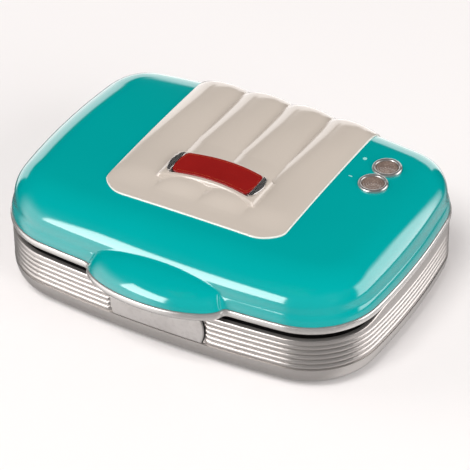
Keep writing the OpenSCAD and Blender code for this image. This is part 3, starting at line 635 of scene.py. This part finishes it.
def wallSection(x, y):
    # offset and height of each point, from the rim down the ribs, under and up inside
    rim = base["rimZ"] + base["rimRise"] * smoothStep((y - base["riseStart"]) / base["riseRun"])
    flat = abs(x) < base["plaqueHalf"] and y < 0
    section = [(out * mm, rim - down * mm) for out, down in base["lip"]]
    section.append((section[-1][0], ribTop + base["lipFoot"]))
    for i in range(base["ribs"]):
        for share in base["ribSteps"]:
            bulge = 1 - abs(2 * share - 1) ** 3
            depth = base["ribDepth"] if flat else base["ribDepth"] * (1 - base["ribBulge"] * bulge)
            section.append((-depth, ribTop - (i + share) * base["ribPitch"]))
    section.append((-base["ribDepth"], ribBottom))
    drop = ribBottom - base["bellyStep"] - base["foot"]
    for share in base["bellySteps"]:
        turn = share * math.pi / 2
        section.append((-base["belly"] * (1 - math.cos(turn)),
                        base["foot"] + drop * (1 - math.sin(turn))))
    return section + [(out * mm, base["foot"] + up * mm) for out, up in base["inside"]]


def makeBase():
    flatLoop = rimLoop(lid["handleHalf"], lambda turn, arch: (0.0, 0.0))
    outerLoop = rimLoop(lid["handleHalf"], lambda turn, arch: (1 * mm, 0.0))
    outwards = [(q - p) / mm for p, q in zip(flatLoop, outerLoop)]
    sections = [wallSection(p.x, p.y - middleY) for p in flatLoop]
    loops = []
    for k in range(len(sections[0])):
        loops.append([p + n * section[k][0] + Vector((0, 0, section[k][1]))
                      for p, n, section in zip(flatLoop, outwards, sections)])
    wall = sweptPiece("baseWall", loops, closed=True)
    settle(wall, "base", "satin_silver", finishMaterial["satinSilver"], "base_shell", angle=30)


# Inlay panel with its lobes, seat and noses
panel = {
    "half": 60.5 * mm,
    "front": 52 * mm,
    "corner": 17 * mm,
    "edge": 1.1 * mm,
    "lobe": 3.8 * mm,
    "lobes": 4,
    "lobePower": 2.4,
    # the lobes grow backwards in two stretches: start, length, share of the height
    "growth": ((-45 * mm, 20 * mm, 0.4), (-10 * mm, 62 * mm, 0.6)),
    "seat": 3.0 * mm,
    "seatRimX": 0.6 * mm,
    "seatSlopeX": 4 * mm,
    "seatRimY": 1.5 * mm,
    "seatSlopeY": 1.7 * mm,
    "nose": 2.2 * mm,                          # the round ends of the lobes before the badge
    "noseStart": -43 * mm,
    "noseRun": 15 * mm,
    "noseSlopeX": 3 * mm,
    "noseLap": 0.3,
    "frontFade": 9 * mm,
    "rearFade": 14 * mm,
    "rounding": 0.55 * mm,
    "columns": 160,
    # rows of the surface at its middle, in millimetres: place, and count of rows up to it
    "stops": ((-52, 0), (-51.6, 4), (-49.5, 8), (-45, 9), (-36, 11), (-26, 14), (-24.8, 6),
              (-22.7, 26), (-21, 6), (-1, 14), (1.4, 5), (3.8, 18), (7, 7), (40, 32), (66, 30),
              (88.7, 50)),
    # the rows arch with the badge near it, and farther back with the rear edge
    "archReach": 33 * mm,
    "archFrom": (-50 * mm, 22 * mm),
    "archUntil": (42 * mm, 36 * mm),
    "archSwap": -10 * mm,
    "bowStart": -27 * mm,
}
badge = {
    "half": 30.2 * mm,
    "back": 0.2 * mm,
    "front": -21.4 * mm,
    "backArch": 87 * mm,
    "frontArch": 100 * mm,
    "endBulge": 1.4 * mm,
    "corner": 4 * mm,
    "leastCorner": 0.6 * mm,
    "cheek": 3.4 * mm,
    "sunk": 1.4 * mm,                          # below the top of its seat
    # lower and upper face of each layer, and the rounding of its edges where it has one
    "tray": (0, 1.3 * mm, 0.35 * mm),
    "cheeks": (0.5 * mm, 2.4 * mm, 0.75 * mm),
    "enamel": (1.1 * mm, 2.32 * mm, 0.4 * mm),
    "line": (2.2 * mm, 2.38 * mm),
    "lineInset": 1.9 * mm,
    "lineWidth": 0.55 * mm,
}


def rearInset(x, y):
    return body["halfDepth"] - y - x * x / (2 * body["rearBulge"])


def lidSurface(x, y):
    # height of the cover and the outward slope (back, up) behind its front shoulder
    full = lid["rearFullness"]
    run = min(1.0, max(0.0, 1 - (rearInset(x, y) - lid["draft"]) / lid["rearWidth"]))
    rise = (1 - run ** full) ** (1 / full)
    back = run ** (full - 1) / lid["rearWidth"]
    up = rise ** (full - 1) / lid["shoulderHeight"]
    size = math.hypot(back, up)
    return skirtTop + rise * (lid["shoulderHeight"] + crownAt(x, y)), back / size, up / size


def panelHalf(inset):
    d = min(panel["corner"], body["halfDepth"] + panel["front"] - inset)
    r = panel["corner"]
    return panel["half"] - r + math.sqrt(max(0.0, 2 * r * d - d * d))


def lobeShape(x):
    # 0 in a valley, 1 on a crest
    f = (x + panel["half"]) / (2 * panel["half"] / panel["lobes"])
    return 1 - abs(2 * (f - math.floor(f)) - 1) ** panel["lobePower"]


def arched(x, y, arch):
    return y - x * x / (2 * arch)


def panelRise(x, y):
    # height over the panel's edge: the lobes, the badge's seat and the noses before it
    share = sum(part * smoothStep((y - start) / run) for start, run, part in panel["growth"])
    lobe = panel["lobe"] * share * lobeShape(x)
    back = arched(x, badge["back"], badge["backArch"])
    front = arched(x, badge["front"], badge["frontArch"])
    away = max(y - back, front - y)
    seat = smoothStep(1 - (abs(x) - badge["half"] - panel["seatRimX"]) / panel["seatSlopeX"])
    seat *= smoothStep(1 - (away - panel["seatRimY"]) / panel["seatSlopeY"])
    nose = smoothStep((panel["half"] / 2 - abs(x)) / panel["noseSlopeX"] + panel["noseLap"])
    nose *= lobeShape(x) * smoothStep((y - panel["noseStart"]) / panel["noseRun"])
    rise = max(lobe, panel["nose"] * nose, panel["seat"] * seat)
    fade = smoothStep((y + panel["front"]) / panel["frontFade"])
    return fade * smoothStep((rearInset(x, y) - 1 * mm) / panel["rearFade"]) * rise


def panelRows():
    rows = [panel["stops"][0][0] * mm]
    for place, count in panel["stops"][1:]:
        start = rows[-1]
        rows += [start + (place * mm - start) * (k + 1) / count for k in range(count)]
    return rows


def panelPlace(u, row):
    # point at a share across the panel in a row; the rows follow the arched seat of the badge
    x = u * panelHalf(body["halfDepth"] - row)
    fromY, fromRun = panel["archFrom"]
    untilY, untilRun = panel["archUntil"]
    share = smoothStep((row - fromY) / fromRun) * smoothStep((untilY - row) / untilRun)
    arch = badge["frontArch"] if row < panel["archSwap"] else badge["backArch"]
    bow = smoothStep((row - panel["bowStart"]) / body["halfDepth"])
    near = min(abs(x), panel["archReach"])
    return x, row - share * near * near / (2 * arch) - bow * x * x / (2 * body["rearBulge"])


def makePanel():
    clearSelection()
    rows = panelRows()
    nx, ny = panel["columns"], len(rows) - 1
    bpy.ops.mesh.primitive_grid_add(x_subdivisions=nx, y_subdivisions=ny, size=1)
    piece = named("inlayPanel")
    for vertex in piece.data.vertices:
        x, y = panelPlace(vertex.co.x * 2, rows[round((vertex.co.y + 0.5) * ny)])
        z, back, up = lidSurface(x, y)
        rise = panel["edge"] + panelRise(x, y)
        vertex.co = (x, middleY + y + rise * back, z + rise * up)
    applied(piece, "SOLIDIFY", thickness=panel["edge"] + 0.1 * mm, offset=-1.0)
    roundEdges(piece, panel["rounding"], sharperThan=50)
    settle(piece, "lid", "cream_satin", finishMaterial["creamSatin"], "inlay_panel", angle=40)


# The bead round the panel's edge, coloured paler than the panel: a painted highlight on its rounded edge
bead = {
    # millimetres out from the edge, and up from the cover
    "section": ((-0.3, 0.75), (-0.05, 0.72), (0.2, 0.6), (0.4, 0.42), (0.5, 0.2), (0.52, -0.15),
                (-0.3, -0.15)),
    "frontSteps": 20,
    "backSteps": 40,
}


def makePanelBead():
    rows = panelRows()
    side = [panelPlace(1.0, row) for row in reversed(rows)]
    frontX, frontY = side[-1]
    steps = bead["frontSteps"]
    front = [(frontX * (1 - 2 * k / steps), frontY) for k in range(1, steps)]
    steps = bead["backSteps"]
    back = [panelPlace(-1 + 2 * k / steps, rows[-1]) for k in range(1, steps)]
    line = side + front + [(-x, y) for x, y in reversed(side)] + back
    loops = []
    for out, lift in bead["section"]:
        loop = []
        for k, (x, y) in enumerate(line):
            ax, ay = line[k - 1]
            bx, by = line[(k + 1) % len(line)]
            size = math.hypot(bx - ax, by - ay)
            px, py = x - (by - ay) / size * out * mm, y + (bx - ax) / size * out * mm
            z, back, up = lidSurface(x, y)
            loop.append(Vector((px, middleY + py + lift * mm * back, z + lift * mm * up)))
        loops.append(loop)
    piece = sweptPiece("inlayBead", loops, closed=True)
    # the pale finish paints the highlight of the rounded edge: painted highlight
    settle(piece, "lid", "cream_satin", finishMaterial["creamEdgePaintedHighlight"], angle=60)


# Badge
badgeTop, _, _ = lidSurface(0.0, (badge["back"] + badge["front"]) / 2)
badgeZ = badgeTop + panel["edge"] + panel["seat"] - badge["sunk"]


def badgeOutline(inset, endInset=0.0):
    # straight-fronted plate with an arched back, bulged ends and round corners
    half = badge["half"] - inset - endInset
    back, front = badge["back"] - inset, badge["front"] + inset
    r = max(badge["leastCorner"], badge["corner"] - inset)
    steps, cornerSteps = 24, 6
    points = []
    for i in range(steps + 1):
        x = (half - r) * (2 * i / steps - 1)
        points.append((x, arched(x, back, badge["backArch"])))
    x0, y0 = points[-1]
    x1, y1 = half - r, arched(half - r, front, badge["frontArch"])
    for k in range(1, cornerSteps + 1):
        a = math.pi / 2 * (1 - k / cornerSteps)
        points.append((x0 + r * math.cos(a), y0 - r + r * math.sin(a)))
    for k in (0.25, 0.5, 0.75):
        y = (y0 - r) * (1 - k) + (y1 + r) * k
        points.append((x0 + r + badge["endBulge"] * math.sin(math.pi * k), y))
    for k in range(cornerSteps):
        a = -math.pi / 2 * k / cornerSteps
        points.append((x1 + r * math.cos(a), y1 + r + r * math.sin(a)))
    for i in range(steps + 1):
        x = (half - r) * (1 - 2 * i / steps)
        points.append((x, arched(x, front, badge["frontArch"])))
    points += [(-x, y) for x, y in reversed(points[steps + 1:-steps - 1])]
    return [(x, y + middleY) for x, y in points]


def badgeCheek(side, inset):
    # the end of the outline beyond the enamel
    limit = badge["half"] - badge["cheek"]
    end = [(x, y) for x, y in badgeOutline(inset) if x > limit + 0.2 * mm]
    line = [(limit, end[0][1])] + end + [(limit, end[-1][1])]
    return line if side > 0 else [(-x, y) for x, y in reversed(line)]


def badgeLayer(name, outline, layer, segments=3):
    low, high, rounding = layer
    piece = outlinedPiece(name, outline, badgeZ + low, badgeZ + high)
    faceOutwards(piece)
    roundEdges(piece, rounding, segments)
    faceOutwards(piece)
    return piece


def makeBadgeLine():
    # both faces of a thin sheet are inset, their middles are taken out and the rims are bridged
    low, high = badge["line"]
    outline = badgeOutline(badge["lineInset"], badge["cheek"])
    line = outlinedPiece("badgeLine", outline, badgeZ + low, badgeZ + high)
    pick(line)
    bpy.ops.object.mode_set(mode="EDIT")
    bpy.ops.mesh.select_all(action="DESELECT")
    mesh = bmesh.from_edit_mesh(line.data)
    for face in mesh.faces:
        face.select_set(len(face.verts) > 8)
    bmesh.update_edit_mesh(line.data)
    bpy.ops.mesh.inset(thickness=badge["lineWidth"])
    bpy.ops.mesh.delete(type="FACE")
    mesh = bmesh.from_edit_mesh(line.data)
    for edge in mesh.edges:
        edge.select_set(edge.is_boundary)
    bmesh.update_edit_mesh(line.data)
    bpy.ops.mesh.bridge_edge_loops()
    bpy.ops.object.mode_set(mode="OBJECT")
    faceOutwards(line)
    settle(line, "lid", "red_enamel", finishMaterial["goldLine"], angle=8)


def makeBadge():
    tray = badgeLayer("badgeTray", badgeOutline(0.0), badge["tray"])
    settle(tray, "lid", "chrome", finishMaterial["chrome"], "badge_frame", angle=8)
    for side, name in ((-1, "Left"), (1, "Right")):
        cheek = badgeLayer("badgeCheek" + name, badgeCheek(side, 0.05 * mm), badge["cheeks"], 4)
        settle(cheek, "lid", "chrome", finishMaterial["chrome"], "badge_frame", angle=8)
    outline = badgeOutline(0.2 * mm, badge["cheek"] + 0.05 * mm)
    plate = badgeLayer("badgeEnamel", outline, badge["enamel"])
    settle(plate, "lid", "red_enamel", finishMaterial["redEnamel"], "badge_plate", angle=8)
    makeBadgeLine()


# Indicator lamps
lamp = {
    "x": 83.6 * mm,
    "y": 27.4 * mm,
    "pitch": 18.8 * mm,
    "radius": 9.2 * mm,
    "lens": 6.9 * mm,
    "rollWide": 1.15 * mm,
    "rollHigh": 1.25 * mm,
    "rollZ": 0.75 * mm,
    "bottom": -0.3 * mm,
    "lensDepth": 3.2 * mm,
    "lensStem": 5.3 * mm,
    "lensRim": 0.3 * mm,
    "rings": 5,
    "ringPitch": 1.5 * mm,
    "grooves": (0.75 * mm, 0.12 * mm),         # height of the outermost, and climb inwards
    "ridges": (1.15 * mm, 0.1 * mm),
    "lensTop": 1.5 * mm,
}


def bezelProfile():
    rollX, bottom = lamp["radius"] - lamp["rollWide"], lamp["bottom"]
    rolled = [(lamp["lens"], bottom), (lamp["radius"] - 0.15 * mm, bottom)]
    for k in range(9):
        a = k * math.pi / 8
        rolled.append((rollX + lamp["rollWide"] * math.cos(a),
                       lamp["rollZ"] + lamp["rollHigh"] * math.sin(a)))
    return rolled + [(lamp["lens"], 0.7 * mm), (lamp["lens"], bottom)]


def lensProfile():
    rim = lamp["lens"] - 0.05 * mm
    stem, depth = lamp["lensStem"], -lamp["lensDepth"]
    dish = [(0.0, depth), (stem, depth), (stem, lamp["lensRim"]), (rim, lamp["lensRim"])]
    for k in range(lamp["rings"]):
        ring = rim - k * lamp["ringPitch"]
        low, high = (start + climb * k for start, climb in (lamp["grooves"], lamp["ridges"]))
        dish += [(ring, low), (ring - 0.35 * mm, high), (ring - 0.9 * mm, high)]
    return dish + [(0.0, lamp["lensTop"])]


def makeLamps():
    for i, place in enumerate(("front", "rear")):
        y = lamp["y"] + i * lamp["pitch"]
        z, _, _ = lidSurface(lamp["x"], y)
        centre = (lamp["x"], y + middleY, z)
        bezel = latheTurned("lampBezel" + place.capitalize(), bezelProfile(), centre)
        settle(bezel, "lid", "chrome", finishMaterial["lampRing"], "lamp_bezel_" + place)
        lens = latheTurned("lampLens" + place.capitalize(), lensProfile(), centre)
        settle(lens, "lid", "lamp_smoke", finishMaterial["lampSmoke"], "lamp_lens_" + place)


# Printed marks beside the lamps: place, half length and half width
marks = {
    "Dash": (68 * mm, 28.3 * mm, 1.3 * mm, 0.416 * mm),
    "Dot": (67.3 * mm, 48.9 * mm, 1.3 * mm, 1.3 * mm),
}
markSunk, markProud = 0.2 * mm, 0.12 * mm


def makeMarks():
    turns = [k * math.tau / 24 for k in range(24)]
    for name, (x, y, wide, deep) in marks.items():
        z, _, _ = lidSurface(x, y)
        outline = [(x + wide * math.cos(a), middleY + y + deep * math.sin(a)) for a in turns]
        mark = outlinedPiece("lampMark" + name, outline, z - markSunk, z + markProud)
        faceOutwards(mark)
        settle(mark, "lid", "plaque_silver", finishMaterial["markPrint"])


# Front plaque, and a dark sheet round it: painted shade in the gap at its edge
plaque = {
    "half": 32 * mm,
    "endRadius": 20 * mm,
    "height": 17.4 * mm,
    "aboveBelly": 0.3 * mm,
    "proud": 0.35 * mm,
    "crown": 0.25 * mm,
    "thick": 1.5 * mm,
    "rounding": 0.4 * mm,
    "columns": 48,
    "rows": 16,
}
# a dark sheet just behind the plaque's edge, standing in for the shade in the gap: painted shade
gapShade = {"grow": 0.55 * mm, "sunk": 1.0 * mm, "thick": 0.8 * mm, "rounding": 0.1 * mm}


def plaqueSheet(name, grow, proud, crown, thick, rounding):
    # a grid bent along the front, with round ends, its middle bulged by the crown
    clearSelection()
    bpy.ops.mesh.primitive_grid_add(x_subdivisions=plaque["columns"], y_subdivisions=plaque["rows"],
                                    size=1)
    piece = named(name)
    r = plaque["endRadius"]
    middleZ = ribBottom + plaque["aboveBelly"] + plaque["height"] / 2
    for vertex in piece.data.vertices:
        u, v = vertex.co.x * 2, vertex.co.y * 2
        up = v * (plaque["height"] / 2 + grow)
        half = plaque["half"] + grow - r + math.sqrt(r * r - up * up)
        x, y, _, _ = rimPoint(math.asin(abs(u) * half / body["frontBulge"]))
        out = proud + crown * (1 - v * v)
        vertex.co = (math.copysign(x, u), middleY + y - out, middleZ + up)
    faceOutwards(piece)
    applied(piece, "SOLIDIFY", thickness=thick, offset=-1.0)
    faceOutwards(piece)
    roundEdges(piece, rounding, sharperThan=50)
    return piece


def makePlaque():
    face = plaqueSheet("frontPlaque", 0.0, plaque["proud"], plaque["crown"], plaque["thick"],
                       plaque["rounding"])
    settle(face, "base", "plaque_silver", finishMaterial["plaqueSilver"], "front_plaque")
    # painted shade: a dark sheet that shows as the shadowed gap round the plaque
    shadow = plaqueSheet("plaqueGapShade", gapShade["grow"], -gapShade["sunk"], 0.0, gapShade["thick"],
                         gapShade["rounding"])
    settle(shadow, "base", "dark_plastic", finishMaterial["darkPlastic"])


makeLid()
makeTrim()
print("stage: lid and trim ring made")
makeBase()
makePlaque()
print("stage: base made")
makePanel()
makePanelBead()
makeBadge()
makeLamps()
makeMarks()
print("stage: panel, badge and lamps made")

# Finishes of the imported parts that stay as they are
nodeFinish = {
    "darkPlastic": ["bottom_cover", "base_top_frame", "lid_inner_frame", "handle_liner",
                    "hinge_bracket_left", "hinge_bracket_right", "hinge_lug_left", "hinge_lug_right"],
    "nonstick": ["lower_plate", "upper_plate"],
    "elementSteel": ["lower_heating_element", "upper_heating_element"],
    "brightSheet": ["lower_reflector", "upper_reflector"],
    "zincSteel": ["cover_screws", "hinge_screws", "hinge_pin_left", "hinge_pin_right",
                  "lower_plate_clips", "upper_plate_clips", "thermostat"],
    "rubber": ["foot_front_left", "foot_front_right", "foot_rear_left", "foot_rear_right",
               "cord_inlet_bush"],
    "ceramic": ["terminal_block", "thermal_fuse", "lamp_holder_front", "lamp_holder_rear"],
    "wireRed": ["inner_wires"],
    "bulbGlass": ["lamp_bulb_front", "lamp_bulb_rear"],
}
for finishName, nodes in nodeFinish.items():
    for node in nodes:
        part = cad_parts[node]
        if not part.material_slots:
            part.data.materials.append(finishMaterial[finishName])
        for place in part.material_slots:
            place.material = finishMaterial[finishName]


# Floor, light and camera
studio = {
    "floorSize": 12.0,
    "floorShade": (0.858, 0.831, 0.826, 1.0),
    # the floor's shade as the camera sees it, and how much it shines there by itself
    "floorSeen": (0.712, 0.686, 0.678, 1.0),
    "floorLift": (0.165, 0.157, 0.155, 1.0),
    "floorRoughness": 0.9,
    # the floor as shiny faces mirror it: brightness, elevation it reaches up to, softness
    "nearFloor": (0.4, -38, 6),
    "farFloor": (0.1, -11, 3),
    "fill": 0.3,
    "air": (1.0, 0.968, 0.958, 1.0),
}
lights = {
    "keyTop": {"place": (-0.2, -2.9, 5.0), "size": 2.6, "power": 232},
    "sideLeft": {"place": (-2.9, -0.9, 1.4), "size": 2.2, "power": 32},
    "sideRight": {"place": (2.9, -0.9, 1.4), "size": 2.2, "power": 66},
}
# The soft boxes that shiny faces mirror, in degrees: azimuth from the front towards the right,
# half width, lowest and highest elevation, softness of each edge, brightness, lean of the top
cards = {
    "front": {"towards": 5, "half": 62, "sideEdge": 16, "low": -60, "lowEdge": 10,
              "high": 50, "highEdge": 16, "bright": 0.12},
    "frontLeft": {"towards": -25, "half": 15.5, "sideEdge": 1.5, "low": 6.5, "lowEdge": 1.5,
                  "high": 34, "highEdge": 2, "bright": 6.6, "lean": -0.3},
    "left": {"towards": -46, "half": 32, "sideEdge": 14, "low": -36, "lowEdge": 14,
             "high": 26, "highEdge": 15, "bright": 1.45},
    "right": {"towards": 121, "half": 25, "sideEdge": 4, "low": -12, "lowEdge": 1,
              "high": 32, "highEdge": 7, "bright": 3.1},
    "rightFloor": {"towards": 122, "half": 46, "sideEdge": 12, "low": -75, "lowEdge": 8,
                   "high": -19, "highEdge": 3, "bright": 0.5},
    "back": {"towards": 194.5, "half": 16.5, "sideEdge": 2, "low": -23, "lowEdge": 15,
             "high": 26.5, "highEdge": 1.5, "bright": 1.9},
    "backLeft": {"towards": 230.5, "half": 19.5, "sideEdge": 2, "low": -18, "lowEdge": 6,
                 "high": 20.5, "highEdge": 2, "bright": 1.55},
}


def calculated(tree, kind, *values):
    # a math node whose inputs are numbers or other nodes' outputs
    node = tree.nodes.new("ShaderNodeMath")
    node.operation = kind
    for slot, value in zip(node.inputs, values):
        if isinstance(value, (int, float)):
            slot.default_value = value
        else:
            tree.links.new(value, slot)
    return node.outputs[0]


def edged(tree, angle, limit, softness, side):
    # 1 on one side of a limit and 0 on the other, in degrees
    node = tree.nodes.new("ShaderNodeMapRange")
    node.interpolation_type = "SMOOTHSTEP"
    setInputs(node, {"From Min": math.radians(limit - side * softness),
                     "From Max": math.radians(limit + side * softness)})
    tree.links.new(angle, node.inputs["Value"])
    return node.outputs["Result"]


def cardLight(tree, direction, elevation, card):
    turned = tree.nodes.new("ShaderNodeVectorRotate")
    turned.rotation_type = "Z_AXIS"
    turned.inputs["Angle"].default_value = -math.radians(card["towards"])
    tree.links.new(direction, turned.inputs["Vector"])
    split = tree.nodes.new("ShaderNodeSeparateXYZ")
    tree.links.new(turned.outputs["Vector"], split.inputs["Vector"])
    ahead = calculated(tree, "MULTIPLY", split.outputs["Y"], -1.0)
    aside = calculated(tree, "ARCTAN2", split.outputs["X"], ahead)
    leaning = calculated(tree, "MULTIPLY_ADD", aside, -card.get("lean", 0.0), elevation)
    spread = calculated(tree, "ABSOLUTE", aside)
    inside = edged(tree, spread, card["half"], card["sideEdge"], -1)
    above = edged(tree, leaning, card["low"], card["lowEdge"], 1)
    below = edged(tree, leaning, card["high"], card["highEdge"], -1)
    mask = calculated(tree, "MULTIPLY", inside, calculated(tree, "MULTIPLY", above, below))
    return calculated(tree, "MULTIPLY", mask, card["bright"])


def makeFloor():
    clearSelection()
    bpy.ops.mesh.primitive_plane_add(size=studio["floorSize"], location=(0, 0, 0))
    floor = named("floor")
    paper = bpy.data.materials.new("floorPaper")
    paper.use_nodes = True
    tree = paper.node_tree
    shader = tree.nodes["Principled BSDF"]
    sight = tree.nodes.new("ShaderNodeLightPath").outputs["Is Camera Ray"]
    shades = tree.nodes.new("ShaderNodeMix")
    shades.data_type = "RGBA"
    shades.inputs[6].default_value = studio["floorShade"]
    shades.inputs[7].default_value = studio["floorSeen"]
    tree.links.new(sight, shades.inputs[0])
    tree.links.new(shades.outputs[2], shader.inputs["Base Color"])
    tree.links.new(sight, shader.inputs["Emission Strength"])
    setInputs(shader, {"Emission Color": studio["floorLift"], "Roughness": studio["floorRoughness"],
                       "Specular IOR Level": 0.0})
    floor.data.materials.append(paper)
    floor.visible_glossy = False


def makeAir():
    # shiny faces mirror the floor and the soft boxes, the camera sees white, the rest is fill
    world = bpy.data.worlds.new("studioAir")
    world.use_nodes = True
    tree = world.node_tree
    where = tree.nodes.new("ShaderNodeTexCoord").outputs["Generated"]
    split = tree.nodes.new("ShaderNodeSeparateXYZ")
    tree.links.new(where, split.inputs["Vector"])
    elevation = calculated(tree, "ARCSINE", split.outputs["Z"])
    nearBright, nearHigh, nearEdge = studio["nearFloor"]
    farBright, farHigh, farEdge = studio["farFloor"]
    near = calculated(tree, "MULTIPLY", edged(tree, elevation, nearHigh, nearEdge, -1),
                      nearBright - farBright)
    far = calculated(tree, "MULTIPLY", edged(tree, elevation, farHigh, farEdge, -1), farBright)
    mirrored = calculated(tree, "ADD", near, far)
    for card in cards.values():
        mirrored = calculated(tree, "ADD", mirrored, cardLight(tree, where, elevation, card))
    path = tree.nodes.new("ShaderNodeLightPath")
    shown = calculated(tree, "MULTIPLY", mirrored, path.outputs["Is Glossy Ray"])
    rest = calculated(tree, "SUBTRACT", 1.0, path.outputs["Is Glossy Ray"])
    seen = calculated(tree, "MAXIMUM", path.outputs["Is Camera Ray"], path.outputs["Is Transmission Ray"])
    lit = calculated(tree, "MAXIMUM", calculated(tree, "MULTIPLY", rest, studio["fill"]), seen)
    background = tree.nodes["Background"]
    tree.links.new(calculated(tree, "ADD", shown, lit), background.inputs["Strength"])
    setInputs(background, {"Color": studio["air"]})
    bpy.context.scene.world = world


def makeLights():
    for name, look in lights.items():
        source = bpy.data.lights.new(name, "AREA")
        source.shape = "SQUARE"
        source.size = look["size"]
        source.energy = look["power"]
        light = bpy.data.objects.new(name, source)
        light.location = look["place"]
        light.rotation_euler = Vector(look["place"]).to_track_quat("Z", "Y").to_euler()
        light.visible_glossy = False
        bpy.context.collection.objects.link(light)


camera = {
    "turn": 29.688,
    "height": 36.965,
    "roll": -0.872,
    "distance": 1.7583,
    "aim": (0.0, 0.0, 40 * mm),
    "sensor": 36,
    "lens": 220.82,
    "shift": (0.0123, -0.0390),
}


def makeCamera():
    turn, height, roll = (math.radians(camera[k]) for k in ("turn", "height", "roll"))
    back = Vector((math.sin(turn) * math.cos(height), -math.cos(turn) * math.cos(height), math.sin(height)))
    right = Vector((math.cos(turn), math.sin(turn), 0))
    up = back.cross(right)
    right, up = (right * math.cos(roll) + up * math.sin(roll),
                 up * math.cos(roll) - right * math.sin(roll))
    view = bpy.data.cameras.new("camera")
    view.sensor_width = camera["sensor"]
    view.lens = camera["lens"]
    view.shift_x, view.shift_y = camera["shift"]
    eye = bpy.data.objects.new("camera", view)
    place = Vector(camera["aim"]) + Vector((0, middleY, 0)) + back * camera["distance"]
    turnMatrix = Matrix((right, up, back)).transposed()
    eye.matrix_world = Matrix.Translation(place) @ turnMatrix.to_4x4()
    bpy.context.scene.collection.objects.link(eye)
    bpy.context.scene.camera = eye


makeFloor()
makeAir()
makeLights()
makeCamera()
bpy.context.scene.view_settings.view_transform = "Standard"
print("stage: studio made")

bpy.context.view_layer.update()
